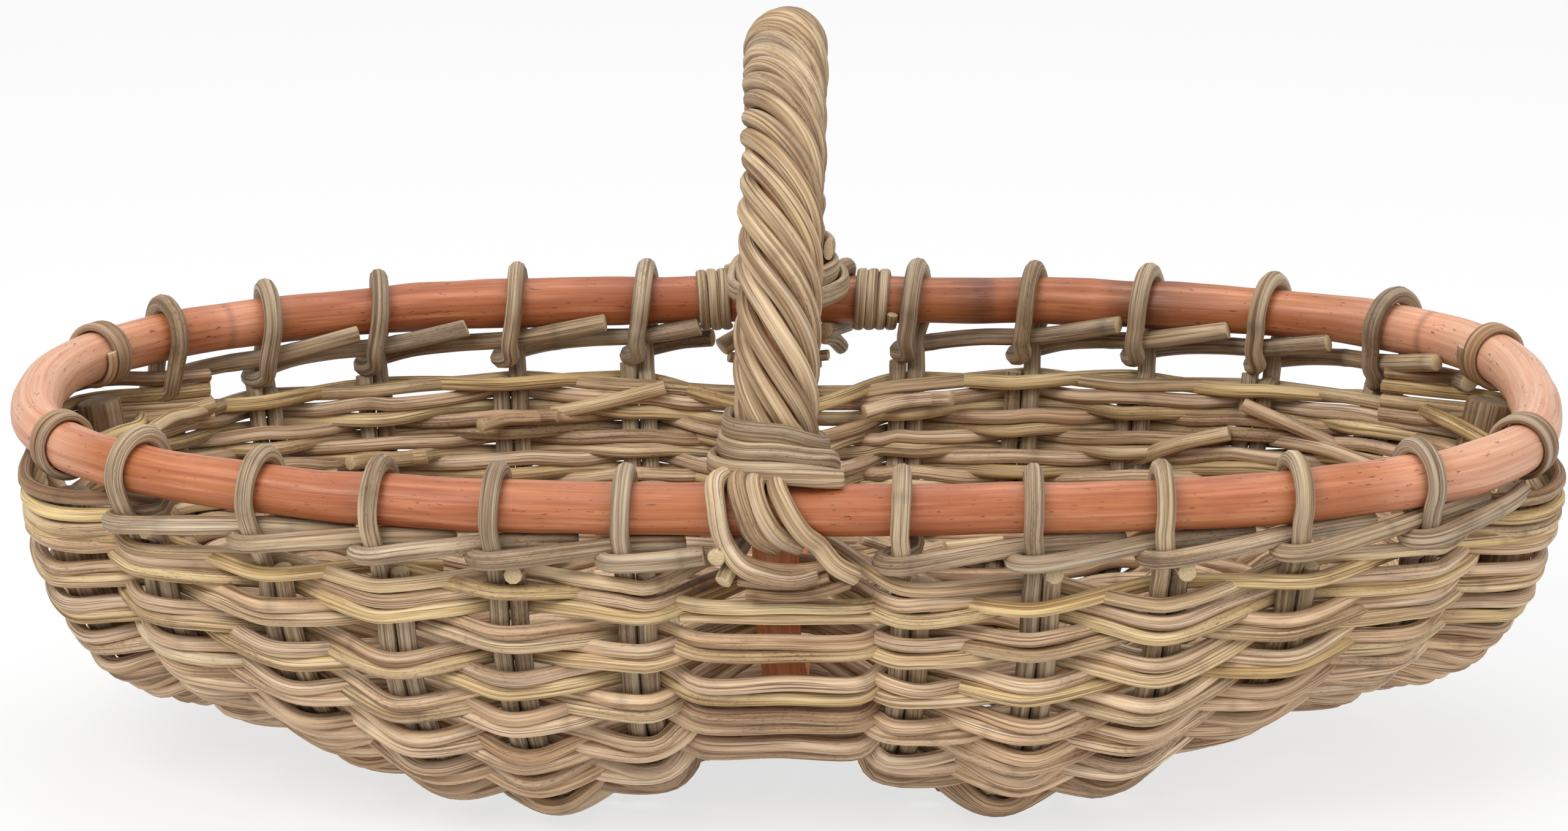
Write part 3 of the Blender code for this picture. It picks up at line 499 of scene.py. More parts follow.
def cane_finish(name, streak, fleck, dirt, gloss, relief):
    """Cane with long fibres, dark streaks and flecks, dirt in patches and pale porous cut ends."""
    finish = Finish(name)
    tint = finish.attribute("tint", "Color")
    grain = finish.attribute("grain", "Vector")
    cut = finish.attribute("cut", "Fac")
    fibres = finish.spread(finish.noise(grain, 0.035, 1.9, 3.0), 0.3, 0.7)
    strips = finish.spread(finish.noise(grain, 0.02, 0.75, 3.0), 0.42, 0.66)
    pale = finish.spread(finish.noise(grain, 0.012, 0.5, 2.0), 0.5, 0.72)
    cracks = finish.spread(finish.noise(grain, 0.01, 1.5, 4.0), 0.57, 0.62)
    patches = finish.spread(finish.noise(grain, 0.3, 0.055, 4.0), 0.46, 0.66)
    specks = finish.spread(finish.noise(grain, 0.3, 1.6, 2.0), 0.56, 0.66)
    flecks = finish.add("ShaderNodeMath", {0: specks, 1: patches}, operation="MULTIPLY").outputs[0]
    colour = finish.mix(finish.spread(fibres, 0, 1, 0.32, 0), tint, colour_of(streak), "MULTIPLY")
    colour = finish.mix(finish.spread(strips, 0, 1, 0, 0.78), colour, colour_of(streak), "MULTIPLY")
    colour = finish.mix(finish.spread(pale, 0, 1, 0, 0.3), colour, colour_of(srgb(236, 226, 206)))
    colour = finish.mix(finish.spread(patches, 0, 1, 0, dirt), colour, colour_of(srgb(150, 128, 106)), "MULTIPLY")
    colour = finish.mix(finish.spread(cracks, 0, 1, 0, 0.75), colour, colour_of(srgb(96, 70, 50)))
    colour = finish.mix(finish.spread(flecks, 0, 1, 0, fleck), colour, colour_of(srgb(78, 54, 38)))
    pores = finish.spread(finish.noise(grain, 1.0, 3.4, 1.0), 0.38, 0.6)
    pith = finish.mix(pores, colour_of(CUT_PITH, 0.55), colour_of(CUT_PITH))
    colour = finish.mix(cut, colour, pith)
    finish.tree.links.new(colour, finish.shader.inputs["Base Color"])
    finish.tree.links.new(finish.spread(strips, 0, 1, gloss, gloss + 0.16), finish.shader.inputs["Roughness"])
    height = finish.add("ShaderNodeMath", {0: fibres, 1: cracks}, operation="SUBTRACT").outputs[0]
    bump = finish.add("ShaderNodeBump", {"Height": height, "Strength": relief, "Distance": 0.35 * MM})
    finish.tree.links.new(bump.outputs["Normal"], finish.shader.inputs["Normal"])
    finish.shader.inputs["Specular IOR Level"].default_value = 0.35
    return finish.material


def pole_finish(name):
    """Red stained pole with long dark streaks, thin worn scratches, pin holes and dark stains."""
    finish = Finish(name)
    tint = finish.attribute("tint", "Color")
    grain = finish.attribute("grain", "Vector")
    streaks = finish.spread(finish.noise(grain, 0.02, 0.55, 4.0), 0.4, 0.68)
    fibres = finish.spread(finish.noise(grain, 0.025, 2.2, 3.0), 0.3, 0.7)
    worn = finish.spread(finish.noise(grain, 0.05, 0.3, 5.0), 0.52, 0.7)
    flecks = finish.spread(finish.noise(grain, 0.22, 0.95, 2.0), 0.66, 0.71)
    patches = finish.spread(finish.noise(grain, 0.4, 0.045, 5.0), 0.5, 0.66)
    colour = finish.mix(finish.spread(streaks, 0, 1, 0, 0.55), tint, colour_of(srgb(206, 152, 124)), "MULTIPLY")
    colour = finish.mix(finish.spread(fibres, 0, 1, 0.25, 0), colour, colour_of(srgb(196, 146, 120)), "MULTIPLY")
    colour = finish.mix(finish.spread(worn, 0, 1, 0, 0.38), colour, colour_of(srgb(230, 160, 124)))
    colour = finish.mix(finish.spread(patches, 0, 1, 0, 0.3), colour, colour_of(srgb(196, 144, 118)), "MULTIPLY")
    colour = finish.mix(finish.spread(flecks, 0, 1, 0, 0.75), colour, colour_of(srgb(66, 34, 24)))
    colour = finish.mix(finish.attribute("cut", "Fac"), colour, colour_of(CUT_PITH))
    finish.tree.links.new(colour, finish.shader.inputs["Base Color"])
    finish.tree.links.new(finish.spread(streaks, 0, 1, 0.42, 0.56), finish.shader.inputs["Roughness"])
    bump = finish.add("ShaderNodeBump", {"Height": fibres, "Strength": 0.18, "Distance": 0.3 * MM})
    finish.tree.links.new(bump.outputs["Normal"], finish.shader.inputs["Normal"])
    finish.shader.inputs["Specular IOR Level"].default_value = 0.45
    return finish.material


POLE_FINISH = pole_finish("red_pole")
HANDLE_FINISH = cane_finish("handle_cane", srgb(136, 106, 76), 0.7, 0.5, 0.52, 0.4)
RUNNER_FINISH = cane_finish("brown_pole", srgb(150, 118, 88), 0.5, 0.4, 0.5, 0.3)
STAKE_FINISH = cane_finish("stake_cane", srgb(140, 114, 88), 0.7, 0.55, 0.58, 0.45)
WEAVER_FINISH = cane_finish("weaver_cane", srgb(148, 120, 90), 0.6, 0.45, 0.55, 0.4)
BINDING_FINISH = cane_finish("binding_cane", srgb(150, 120, 88), 0.6, 0.4, 0.5, 0.4)


def list_uprights():
    """Every upright that the weavers pass, counterclockwise from the front left post."""
    rows = []
    for shares, front in ((FRONT_STAKE_SHARES, True), (BACK_STAKE_SHARES, False)):
        side = "front" if front else "back"
        row = [("stake", f"stake_{side}_{number + 1}", angle_at(share, front))
               for number, share in enumerate(shares)]
        row.insert(sum(share < 0 for share in shares), ("leg", "handle_hoop", angle_at(0, front)))
        row.insert(0, ("post", f"runner_{side}", post_angle(True, front)))
        row.append(("post", f"runner_{side}", post_angle(False, front)))
        rows.append(row)
    return rows[0] + rows[1][::-1]


UPRIGHTS = list_uprights()
LEG_NUMBER = next(number for number, upright in enumerate(UPRIGHTS) if upright[0] == "leg")
AROUND = rim_table()[1][-1]


def pole_colours(cane, places, spots):
    """Paler ends, a darker stretch at the back that is partly stain and partly painted shade, and worn bands round the
    nodes, each with a thin dark line.
    """
    along = cane.line[:, 0] / RIM_HALF_LENGTH
    at_back = smooth_step(cane.line[:, 1] / (60 * MM))
    worn = np.maximum(smooth_step((along - 0.7) / 0.24) * 0.8, smooth_step((-along - 0.86) / 0.1) * 0.72)
    patches = np.clip(0.5 + 0.75 * waver(np.random.default_rng(17), places, 8 * MM), 0, 1)
    # Darkening of the stretch at the back: partly stain, partly painted shade
    stained = smooth_step((along - 0.12) / 0.1) * smooth_step((0.66 - along) / 0.15) * at_back * patches * 0.8
    shade = np.zeros(len(places))
    line = np.zeros(len(places))
    for spot in spots:
        away = places - spot
        shade += np.exp(-(away / (13 * MM)) ** 2)
        line += np.exp(-((away - 3 * MM) / (1.1 * MM)) ** 2)
    sides = (len(cane.verts)) // len(places)
    pale = np.repeat(np.clip(shade, 0, 1), sides)[:, None] * 0.75
    thin = np.repeat(np.clip(line, 0, 1), sides)[:, None] * 0.4
    count = len(pale)
    worn, stained = np.repeat(worn, sides)[:, None], np.repeat(stained, sides)[:, None]
    colour = cane.tint[:count] * (1 - worn) + PALE_COPPER * worn
    colour = colour * (1 - stained) + STAIN_AND_SHADE_COPPER * stained
    cane.tint[:count] = (colour * (1 - pale) + srgb(220, 160, 126) * pale) * (1 - thin)


def make_rim_pole():
    """Rim pole, whose scarf joint lies behind the handle's back foot."""
    start = angle_at(0, False)
    points = [rim_point(start + math.tau * step / 120) for step in range(120)]
    pole = Cane(points, RIM_ROD, COPPER, 11, closed=True, sides=48, step=3 * MM, wobble=0.35 * MM, nodes=0)
    _, places = smooth_line(points, 3 * MM, True)
    node_places = ((-0.77, False), (-0.955, True), (0.80, True), (0.90, False), (0.30, True), (0.45, False))
    spots = [(rim_length(angle_at(share, front)) - rim_length(start)) % AROUND for share, front in node_places]
    pole_colours(pole, places, spots[:4])
    make_piece("rim_pole", [pole], POLE_FINISH, "pole_cane", "rim_hoop")


def leg_lean(place):
    """Offset along the basket by which the hoop leans to the left, most at its front leg."""
    crown = ARCH_START + math.pi / 2 * LEG_PLACE
    return -3.8 * MM * smooth_step(1 - place / crown)


def hoop_points():
    """Closed line of the handle hoop: an arch, two legs and a bar across the floor."""
    arch_height = RIM_HEIGHT + ARCH_START
    corner_height = CROSS_BAR_HEIGHT + HOOP_CORNER
    points = [(leg_lean(ARCH_START + turn * LEG_PLACE), -LEG_PLACE * math.cos(turn),
               arch_height + LEG_PLACE * math.sin(turn)) for turn in np.linspace(0, math.pi, 25)]
    for share in (0.33, 0.66):
        points.append((0, LEG_PLACE, arch_height + (corner_height - arch_height) * share))
    for turn in np.linspace(0, math.pi / 2, 7):
        points.append((0, LEG_PLACE - HOOP_CORNER * (1 - math.cos(turn)), corner_height - HOOP_CORNER * math.sin(turn)))
    for place in (0.03, -0.03):
        points.append((0, place, CROSS_BAR_HEIGHT))
    for turn in np.linspace(math.pi / 2, 0, 7):
        points.append((leg_lean(0) * (1 - turn), HOOP_CORNER * (1 - math.cos(turn)) - LEG_PLACE,
                       corner_height - HOOP_CORNER * math.sin(turn)) if turn < 1 else
                      (0, HOOP_CORNER * (1 - math.cos(turn)) - LEG_PLACE, corner_height - HOOP_CORNER * math.sin(turn)))
    for share in (0.66, 0.33):
        points.append((leg_lean(0), -LEG_PLACE, arch_height + (corner_height - arch_height) * share))
    return np.array(points)


def post_point(angle, share):
    """Point on a corner post's axis."""
    point, outward, _ = wall_frame(angle, share)
    return point - outward * RUNNER_LIFT * smooth_step((share - POST_LEAN_SHARE) / (1 - POST_LEAN_SHARE))


def runner_points(front):
    """Line of a lengthwise pole that runs along the floor and rises to a post at each end."""
    width_place = FLOOR_HALF_WIDTH * POST_WIDTH_SHARE * (-1 if front else 1)
    left, right = post_angle(True, front), post_angle(False, front)
    drop = UP * 20.3 * MM
    down = [rim_point(left) - drop] + [post_point(left, share) for share in RUNNER_WALL_SHARES]
    shares = [-share for share in reversed(FLOOR_SHARES)] + [0, *FLOOR_SHARES]
    floor = [floor_point(share, width_place, RUNNER_LIFT) for share in shares]
    up = [post_point(right, share) for share in reversed(RUNNER_WALL_SHARES)] + [rim_point(right) - drop]
    return np.array(down + floor + up)


def make_frame_poles():
    """Handle pole and the two runner poles."""
    points = hoop_points()
    # The handle pole takes the lighter copper, painted light for its legs that lie in shade
    pole = Cane(points, HOOP_ROD, PAINTED_LIGHT_LEG_COPPER, 12, closed=True, sides=32, wobble=0, nodes=0)
    make_piece("handle_pole", [pole], POLE_FINISH, "pole_cane", "handle_hoop")
    for number, front in enumerate((True, False)):
        side = "front" if front else "back"
        pole = Cane(runner_points(front), RUNNER_ROD, RUNNER_BROWN, 13 + number, sides=28, wobble=0.3 * MM, nodes=0)
        pole.cut *= 0.35
        make_piece(f"runner_pole_{side}", [pole], RUNNER_FINISH, "pole_cane", f"runner_{side}")


make_rim_pole()
make_frame_poles()

# The end of a stake goes over the rim, down inside, round its own foot and on to the next stake
LOOP_RADIUS = RIM_RADIUS + STAKE_RADIUS + 0.2 * MM


def loop_points(start, way, random):
    """Stake's loop over the rim pole and its turn round its own foot, back to the outside."""
    low = 0 if way > 0 else 4.5 * MM
    points = [beside_rim(start, 0.5 * MM, -28 * MM - low), beside_rim(start, 3.4 * MM, -22.5 * MM - low),
              beside_rim(start, 8.2 * MM, -16.5 * MM - low / 2)]
    for turn in np.linspace(math.radians(-30), math.radians(205), 11):
        lean = math.sin((turn - math.radians(90)) / 2) * (1.2 * MM if way > 0 else -4 * MM)
        points.append(beside_rim(start + way * lean, LOOP_RADIUS * math.cos(turn), LOOP_RADIUS * math.sin(turn)))
    side = 4.2 * MM if way > 0 else -4.6 * MM
    points.append(beside_rim(start + way * side, -11.2 * MM, -12.5 * MM - low / 2))
    points.append(beside_rim(start + way * (side + 1 * MM), -6.6 * MM, -17.2 * MM - low))
    foot = STAKE_ROD + 0.3 * MM
    drop = random.uniform(-0.8, 0.8) * MM - low
    for turn in (0, 45, 90, 135, 180) if way > 0 else (60, 95, 135, 180):
        turn = math.radians(turn)
        points.append(beside_rim(start - way * foot * math.sin(turn), 5.6 * MM - low - foot * math.cos(turn),
                                 -18.4 * MM - 0.7 * MM * math.sin(turn) + drop))
    return points


def run_points(start, way, gap, length):
    """Rest of a stake's end, which rises under the rim pole past the next upright."""
    places = np.array((0.25 * gap, 0.55 * gap, 0.97 * gap, gap + 40 * MM))
    outs = np.array((11.5, 9, 4.2, -2.0) if way > 0 else (8, 3, -5.5, -14.4)) * MM
    rises = np.array((-17.0, -15.2, -13.6, -13.4) if way > 0 else (-20, -17.2, -14.2, -5)) * MM
    stops = [place for place in places if place < length - STAKE_ROD] + [length]
    return [beside_rim(start + way * stop, float(np.interp(stop, places, outs)),
                       float(np.interp(stop, places, rises))) for stop in stops]


def stake_foot(angle, along):
    """End of a stake on the floor, against the side of the runner."""
    foot = beside_wall(angle, 1, along, 0)
    side = math.copysign(1, foot[1])
    place = FLOOR_HALF_WIDTH * POST_WIDTH_SHARE + RUNNER_RADIUS + STAKE_RADIUS + 0.5 * MM
    return np.array((foot[0], side * place, foot[2]))


LINER_TOPS = {"stake_front_4": 11, "stake_front_7": 9, "stake_front_8": 13, "stake_front_1": 8}


def make_stakes():
    """Each stake is two canes side by side: one loops over the rim and the other stops short of it."""
    for number, (kind, name, angle) in enumerate(UPRIGHTS):
        if kind != "stake":
            continue
        random = np.random.default_rng(100 + number)
        start = rim_length(angle)
        way = 1 if math.sin(angle) < 0 else -1
        following = UPRIGHTS[(number + way) % len(UPRIGHTS)]
        gap = way * (rim_length(following[2]) - start) % AROUND
        past = {"stake": random.uniform(28, 38) * MM, "leg": -31 * MM, "post": -14 * MM}[following[0]]
        if UPRIGHTS[(number + 2 * way) % len(UPRIGHTS)][0] == "leg":
            past = 22 * MM
        wall = [beside_wall(angle, share, 0, 0) for share in STAKE_WALL_SHARES]
        rod = Cane([stake_foot(angle, 0), *wall, *loop_points(start, way, random),
                    *run_points(start, way, gap, gap + past)],
                   STAKE_ROD, STAKE_CANE, 200 + number, step=3 * MM, nodes=70 * MM, wobble=0.2 * MM)
        shares = [share for share in STAKE_WALL_SHARES if share > 0.25]
        liner = [stake_foot(angle, LINER_PLACE)] + [beside_wall(angle, share, LINER_PLACE, 0) for share in shares]
        bend = LINER_TOPS.get(name)
        top = 0.163 if bend else random.uniform(0.15, 0.19)
        liner.append(beside_wall(angle, top, LINER_PLACE, 1 * MM))
        if bend:
            liner.append(beside_wall(angle, top - 0.024, LINER_PLACE, 5 * MM))
            liner.append(beside_wall(angle, top - 0.031, LINER_PLACE, bend * MM))
        liner_cane = Cane(liner, STAKE_ROD, STAKE_CANE, 300 + number, step=3 * MM, nodes=80 * MM,
                          wobble=0.2 * MM, slant=0.1)
        make_piece(name.replace("stake", "stake_canes"), [rod, liner_cane], STAKE_FINISH, "stake_cane", name)


make_stakes()


def row_shift(row, angle, other):
    """Length by which a row lies below an even spacing, towards the front from the basket's ends."""
    length_share = oval(angle)[0]
    if math.sin(angle) > 0:
        return (-2 if length_share < 0 else -3) * MM * max(abs(length_share) - 0.7, 0) / 0.3
    shifts = SECOND_SINGLE_SHIFTS if other else ROW_SHIFTS[row]
    stakes = FRONT_STAKE_SHARES[0::2][:3] + FRONT_STAKE_SHARES[5::2]
    if len(shifts) == 4:
        stakes = FRONT_STAKE_SHARES[1:4:2] + FRONT_STAKE_SHARES[6:9:2]
    return float(np.interp(length_share, (-1, *stakes, 1), (-2, *shifts, -3))) * MM


def row_share(row, angle, other=False):
    """Place of a weaver row down the wall, dipping a little past the handle's legs."""
    length = wall_length(angle)
    first = FIRST_PAIR_DROP / length
    step = (LAST_PAIR_SHARE - first) / (ROW_COUNT - 2)
    share = TOP_ROW_DROP / length if row == 0 else first + step * (row - 1)
    return share + ROW_DIP / length * arch_share(oval(angle)[0]) * (1 - share) + row_shift(row, angle, other) / length


def row_pitch(angle):
    """Height from one row of weavers to the next."""
    length = wall_length(angle)
    return (LAST_PAIR_SHARE - FIRST_PAIR_DROP / length) / (ROW_COUNT - 2) * length


def leg_pass(row, angle, outside):
    """Offset from the wall by which a row passes the handle's leg, level above the hoop's corner."""
    point, outward, _ = wall_frame(angle, row_share(row, angle))
    if point[1] < 0 and row in FRONT_LEG_PASSES:
        place, height = FRONT_LEG_PASSES[row] if outside or row else (0.1166, 0.1168)
        return np.array((0, -place, height)) - point
    if point[1] < 0 and row > 6:
        return outward * 0.5 * MM
    side = math.copysign(1, point[1])
    corner = CROSS_BAR_HEIGHT + HOOP_CORNER
    below = max(corner - point[2], 0)
    clear = HOOP_RADIUS + WEAVER_ROD / 2 + 0.3 * MM
    if outside and row < 6:
        place = LEG_PLACE - HOOP_CORNER + math.sqrt((HOOP_CORNER + clear) ** 2 - below ** 2)
        return np.array((0, side * place - point[1], 0))
    if outside:
        return outward * 6.5 * MM
    inner = HOOP_CORNER - clear
    if below < inner * 0.97:
        place = LEG_PLACE - HOOP_CORNER + math.sqrt(inner ** 2 - below ** 2)
        return np.array((0, side * place - point[1], 0))
    place, height = LEG_PLACE - HOOP_CORNER + 18 * MM, CROSS_BAR_HEIGHT + HOOP_RADIUS + WEAVER_ROD + 4 * MM
    return np.array((0, side * place - point[1], height - point[2]))


def row_stations(row, other=False):
    """Places round the wall where a row bends: angle, offset from its surface and the upright's number."""
    stations = []
    for number, (kind, name, angle) in enumerate(UPRIGHTS):
        share = row_share(row, angle, other)
        step = np.linalg.norm(wall_point(angle + SLOPE_STEP, share) - wall_point(angle, share)) / SLOPE_STEP
        outside = (number - LEG_NUMBER + row + other) % 2 == 0
        if kind == "leg":
            low = row > 5
            outside = outside or low
            offset = leg_pass(row, angle, outside)
            at_leg = wall_point(angle, share) + offset
            side = math.copysign(1, -at_leg[1])
            for along in ((-33 * MM, 0, 29 * MM) if outside else (-9 * MM, 9 * MM)):
                place = angle + along / step
                target = at_leg + ALONG * along * side
                stations.append((place, target - wall_point(place, row_share(row, place, other)), number))
        elif kind == "post":
            _, outward, _ = wall_frame(angle, share)
            lean = RUNNER_LIFT * smooth_step((share - POST_LEAN_SHARE) / (1 - POST_LEAN_SHARE))
            clear = RUNNER_RADIUS + WEAVER_ROD / 2
            offset = outward * ((clear if outside else -clear) - lean)
            for along in (-6 * MM, 6 * MM):
                stations.append((angle + along / step, offset, number))
        else:
            for along in (-1 * MM, 8 * MM):
                place = angle + along / step
                _, outward, _ = wall_frame(place, row_share(row, place, other))
                stations.append((place, outward * (PASS_OFFSET if outside else -PASS_OFFSET), number))
    return stations


def weaver_points(row, lower, start, random, other=False):
    """Line of one weaver, once round the wall from an upright that it passes inside, and a little on."""
    stations = row_stations(row, other)
    turned = next(place for place, station in enumerate(stations) if station[2] == start)
    order = stations[turned:] + [(angle + math.tau, offset, number) for angle, offset, number in stations[:turned]]
    order += [(angle + math.tau, offset, number) for angle, offset, number in order[:2]]
    first, last = order[0], order[-1]
    points = []
    for place, (angle, offset, number) in enumerate(order):
        share = row_share(row, angle, other)
        point, outward, down = wall_frame(angle, share)
        spread = 0.0
        if row > 0:
            spread = min(row_pitch(angle), WEAVER_ROD * 1.02) / 2 * (1 if lower else -1)
            spread += random.uniform(-0.4, 0.4) * MM
        slide = random.uniform(-0.5, 0.5) * MM
        points.append(point + offset + down * (spread + slide))
        if place < len(order) - 1:
            following = order[place + 1]
            turn = (following[0] - angle) % math.tau
            long_way = number != following[2] and math.sin(angle) * math.sin(following[0]) < 0
            if long_way:
                for part in (0.25, 0.5, 0.75):
                    between = angle + turn * part
                    middle, outward, down = wall_frame(between, row_share(row, between, other))
                    drift = offset + (following[1] - offset) * part
                    flat = 1 - 2 * abs(part - 0.5)
                    points.append(middle + drift + down * spread * (1 - flat) + outward * spread * flat)
            elif row > 0 and number != following[2]:
                between = angle + turn / 2
                middle, outward, down = wall_frame(between, row_share(row, between))
                drift = (offset + following[1]) / 2
                lean = (1 if lower else -1) * MM
                points.append(middle + drift + outward * 1.8 * lean + down * 2.3 * lean)
    _, outward, down = wall_frame(first[0], row_share(row, first[0], other))
    tail = random.uniform(9, 16) * MM
    side = unit(points[1] - points[0])
    head = points[0] - side * tail - outward * tail * 0.55 - down * 1.5 * MM
    _, outward, down = wall_frame(last[0], row_share(row, last[0], other))
    for step in (-1, -2):
        points[step] = points[step] - outward * WEAVER_ROD * 0.95
    side = unit(points[-1] - points[-2])
    tail = random.uniform(9, 18) * MM
    end = points[-1] + side * tail - outward * tail * 0.5 + down * 1.5 * MM
    return [head, *points, end]


# Loose ends of canes inside the back wall: angle's length share, place down the wall, then along and in, in mm
LOOSE_ENDS = (
    (0.66, 0.30, ((62, 3, 12), (34, 8, 4), (0, 14, -8))),
    (0.62, 0.36, ((-42, -4, 8), (-20, 9, 0), (8, 13, -4))),
    (0.86, 0.37, ((-46, 3, -4), (-22, 9, 0), (6, 13, 5))),
    (0.80, 0.50, ((-44, 4, 2), (-20, 9, 1), (10, 13, 0))),
    (0.60, 0.56, ((-46, 3, 14), (-22, 9, 6), (6, 14, -4))),
    (0.30, 0.62, ((-40, 4, 8), (-18, 9, 3), (9, 13, -3))),
    (-0.42, 0.46, ((46, 3, 0), (22, 9, 0), (-4, 12, 0))),
    (-0.20, 0.24, ((-40, 3, 5), (-18, 9, 1), (8, 13, -4))),
    (-0.66, 0.60, ((44, 3, 3), (20, 9, 1), (-8, 12, -2))))


def make_loose_ends():
    """Cut ends of weavers that stand free inside the back wall."""
    canes = []
    for number, (length_share, share, line) in enumerate(LOOSE_ENDS):
        angle = angle_at(length_share, False)
        step = np.linalg.norm(wall_point(angle + SLOPE_STEP, share) - wall_point(angle, share)) / SLOPE_STEP
        points = []
        for along, into, low in line:
            point, outward, down = wall_frame(angle - along * MM / step, share)
            points.append(point - outward * into * MM + down * low * MM)
        look = (WEAVER_GREY, WEAVER_MILD)[number % 2]
        canes.append(Cane(points, 6.2 * MM, look, 1800 + number, step=3 * MM, wobble=0.2 * MM, nodes=0))
    return canes


# Canes round both corner posts at an end: drop under the rim's middle and clearance from the posts in mm, colours
END_WEAVERS = ((15, 0.4, CORNER_CANE), (21.5, 1.0, WEAVER_STRAW), (27.5, 0.4, WEAVER_MILD), (33.5, 0.6, WEAVER_GREY))


def make_end_weavers():
    """Short weavers round the outside of the posts at each end of the basket, tucked in past them."""
    canes = []
    for at_left in (False, True):
        for number, (drop, out, look) in enumerate(END_WEAVERS):
            clear = RUNNER_RADIUS / MM + 3 + out
            points = []
            for front in (True, False):
                angle = post_angle(at_left, front)
                share = drop * MM / wall_length(angle)
                step = np.linalg.norm(wall_point(angle + SLOPE_STEP, share) - wall_point(angle, share)) / SLOPE_STEP
                side = -1 if at_left == front else 1
                run = []
                for along, offset in ((-46, -9), (-30, -4), (-17, clear * 0.6), (-7, clear), (7, clear),
                                      (19, clear * 0.7), (40, 2.5)):
                    point, outward, down = wall_frame(angle + side * along * MM / step, share)
                    run.append(point + outward * offset * MM - down * 0.03 * along * MM)
                points += run if front else run[::-1]
            canes.append(Cane(points, 6 * MM, look, 1860 + number + 4 * at_left, step=3 * MM, wobble=0.5 * MM))
    return canes


def leg_patch():
    """Short second cane under the single one where it crosses the front leg."""
    place, height = FRONT_LEG_PASSES[0]
    points = [(along * MM, -(place - abs(along - 1) * 0.06 * MM), height - 5.4 * MM) for along in (-40, -20, 0, 20, 38)]
    return Cane(points, 4.8 * MM, WEAVER_MILD, 1850, wobble=0.3 * MM, nodes=0, slant=0.8)


def make_weavers():
    """A single cane on top, then rows of two canes."""
    for row in range(ROW_COUNT):
        canes = []
        for lower in (False, True):
            other = row == 0 and lower
            random = np.random.default_rng(1000 + row * 10 + lower)
            inside = [number for number, (kind, _, _) in enumerate(UPRIGHTS)
                      if kind == "stake" and (number - LEG_NUMBER + row + other) % 2 == 1
                      and abs(number - LEG_NUMBER) > 1]
            start = inside[int(random.integers(len(inside)))]
            look = WEAVER_GREY
            if (row, lower) in ((0, False), (1, True), (4, True)):
                look = WEAVER_STRAW
            elif lower and row < 6:
                look = WEAVER_MILD
            rod = WEAVER_ROD * random.uniform(0.97, 1.06)
            canes.append(Cane(weaver_points(row, lower, start, random, other), rod, look, 1500 + row * 10 + lower,
                              nodes=110 * MM, wobble=0.35 * MM))
        if row == 0:
            canes += [leg_patch(), *make_end_weavers()]
        if row == 6:
            canes += make_loose_ends()
        name = "weaver_single_01" if row == 0 else f"weaver_pair_{row + 1:02d}"
        make_piece(name, canes, WEAVER_FINISH, "weaver_cane", f"weaver_row_{row + 1:02d}")


make_weavers()

# Handle strands
STRAND_COUNT = 8
STRAND_ROD = 0.0077
STRAND_CIRCLE = HOOP_RADIUS + STRAND_ROD / 2 - 0.1 * MM
TURNS_TO_CROWN = 2.0
TURN_CHANGE_SHARE = 0.128
FOOT_LEVEL = 0.022
# Each flare's places along the rim in mm with its turns over it in degrees, then along, out and rise in mm
FLARES = (
    (((-21.5, 108), (-26.4, 62), (-25.8, 20), (-24.6, -14), (-22.6, -42)),
     ((-16.5, 12.8, -18), (-8, 13.4, -21.6), (2, 12.6, -23.4), (11, 9, -22.6))),
    (((-15.5, 104), (-18.8, 62), (-16.8, 18), (-12.4, -24), (-4.6, -62)), ()),
    (((-8.6, 98), (-11.6, 58), (-8.8, 14), (-3.2, -24), (5, -64)), ()),
    (((-1.5, 98), (-4.0, 60), (0.8, 14), (6.8, -22), (12.2, -50)), ((19, 10.6, -18.6), (27, 8.4, -23.6))))


def hoop_frame(place):
    """Point on the hoop's axis above the rim, with the direction out of the arch."""
    arch_length = math.pi * LEG_PLACE
    if place < ARCH_START:
        return np.array((leg_lean(place), -LEG_PLACE, RIM_HEIGHT + place)), np.array((0.0, -1.0, 0.0))
    if place > ARCH_START + arch_length:
        return np.array((0, LEG_PLACE, RIM_HEIGHT + 2 * ARCH_START + arch_length - place)), np.array((0.0, 1.0, 0.0))
    turn = (place - ARCH_START) / LEG_PLACE
    outward = np.array((0, -math.cos(turn), math.sin(turn)))
    return np.array((leg_lean(place), 0, RIM_HEIGHT + ARCH_START)) + outward * LEG_PLACE, outward


def strand_crown(turned):
    """Points of a strand round the hoop, from the front foot over the crown to the back foot."""
    crown = ARCH_START + math.pi / 2 * LEG_PLACE
    steps = round(TURNS_TO_CROWN * STRAND_COUNT * 2)
    slow = 1 - TURN_CHANGE_SHARE
    points = []
    for step in range(2 * steps + 1):
        done = min(step, 2 * steps - step) / steps
        share = (math.sqrt(slow ** 2 + 4 * TURN_CHANGE_SHARE * done) - slow) / (2 * TURN_CHANGE_SHARE)
        place = FOOT_LEVEL + (crown - FOOT_LEVEL) * share
        place = place if step <= steps else 2 * crown - place
        centre, outward = hoop_frame(place)
        turn = turned + math.tau * step / STRAND_COUNT / 2
        points.append(centre + (ALONG * math.cos(turn) + outward * math.sin(turn)) * STRAND_CIRCLE)
    return points


def flare_foot(number):
    """Foot of an outer strand: it spreads over the outside of the rim and tucks in under it."""
    circle = (RIM_RADIUS + STRAND_ROD / 2 + 0.3 * MM) / MM
    turned, free = FLARES[number]
    over = [(along, circle * math.cos(math.radians(turn)), circle * math.sin(math.radians(turn)))
            for along, turn in turned]
    return [np.array((along * MM, -RIM_HALF_WIDTH - out * MM, RIM_HEIGHT + rise * MM))
            for along, out, rise in (*over, *free)]


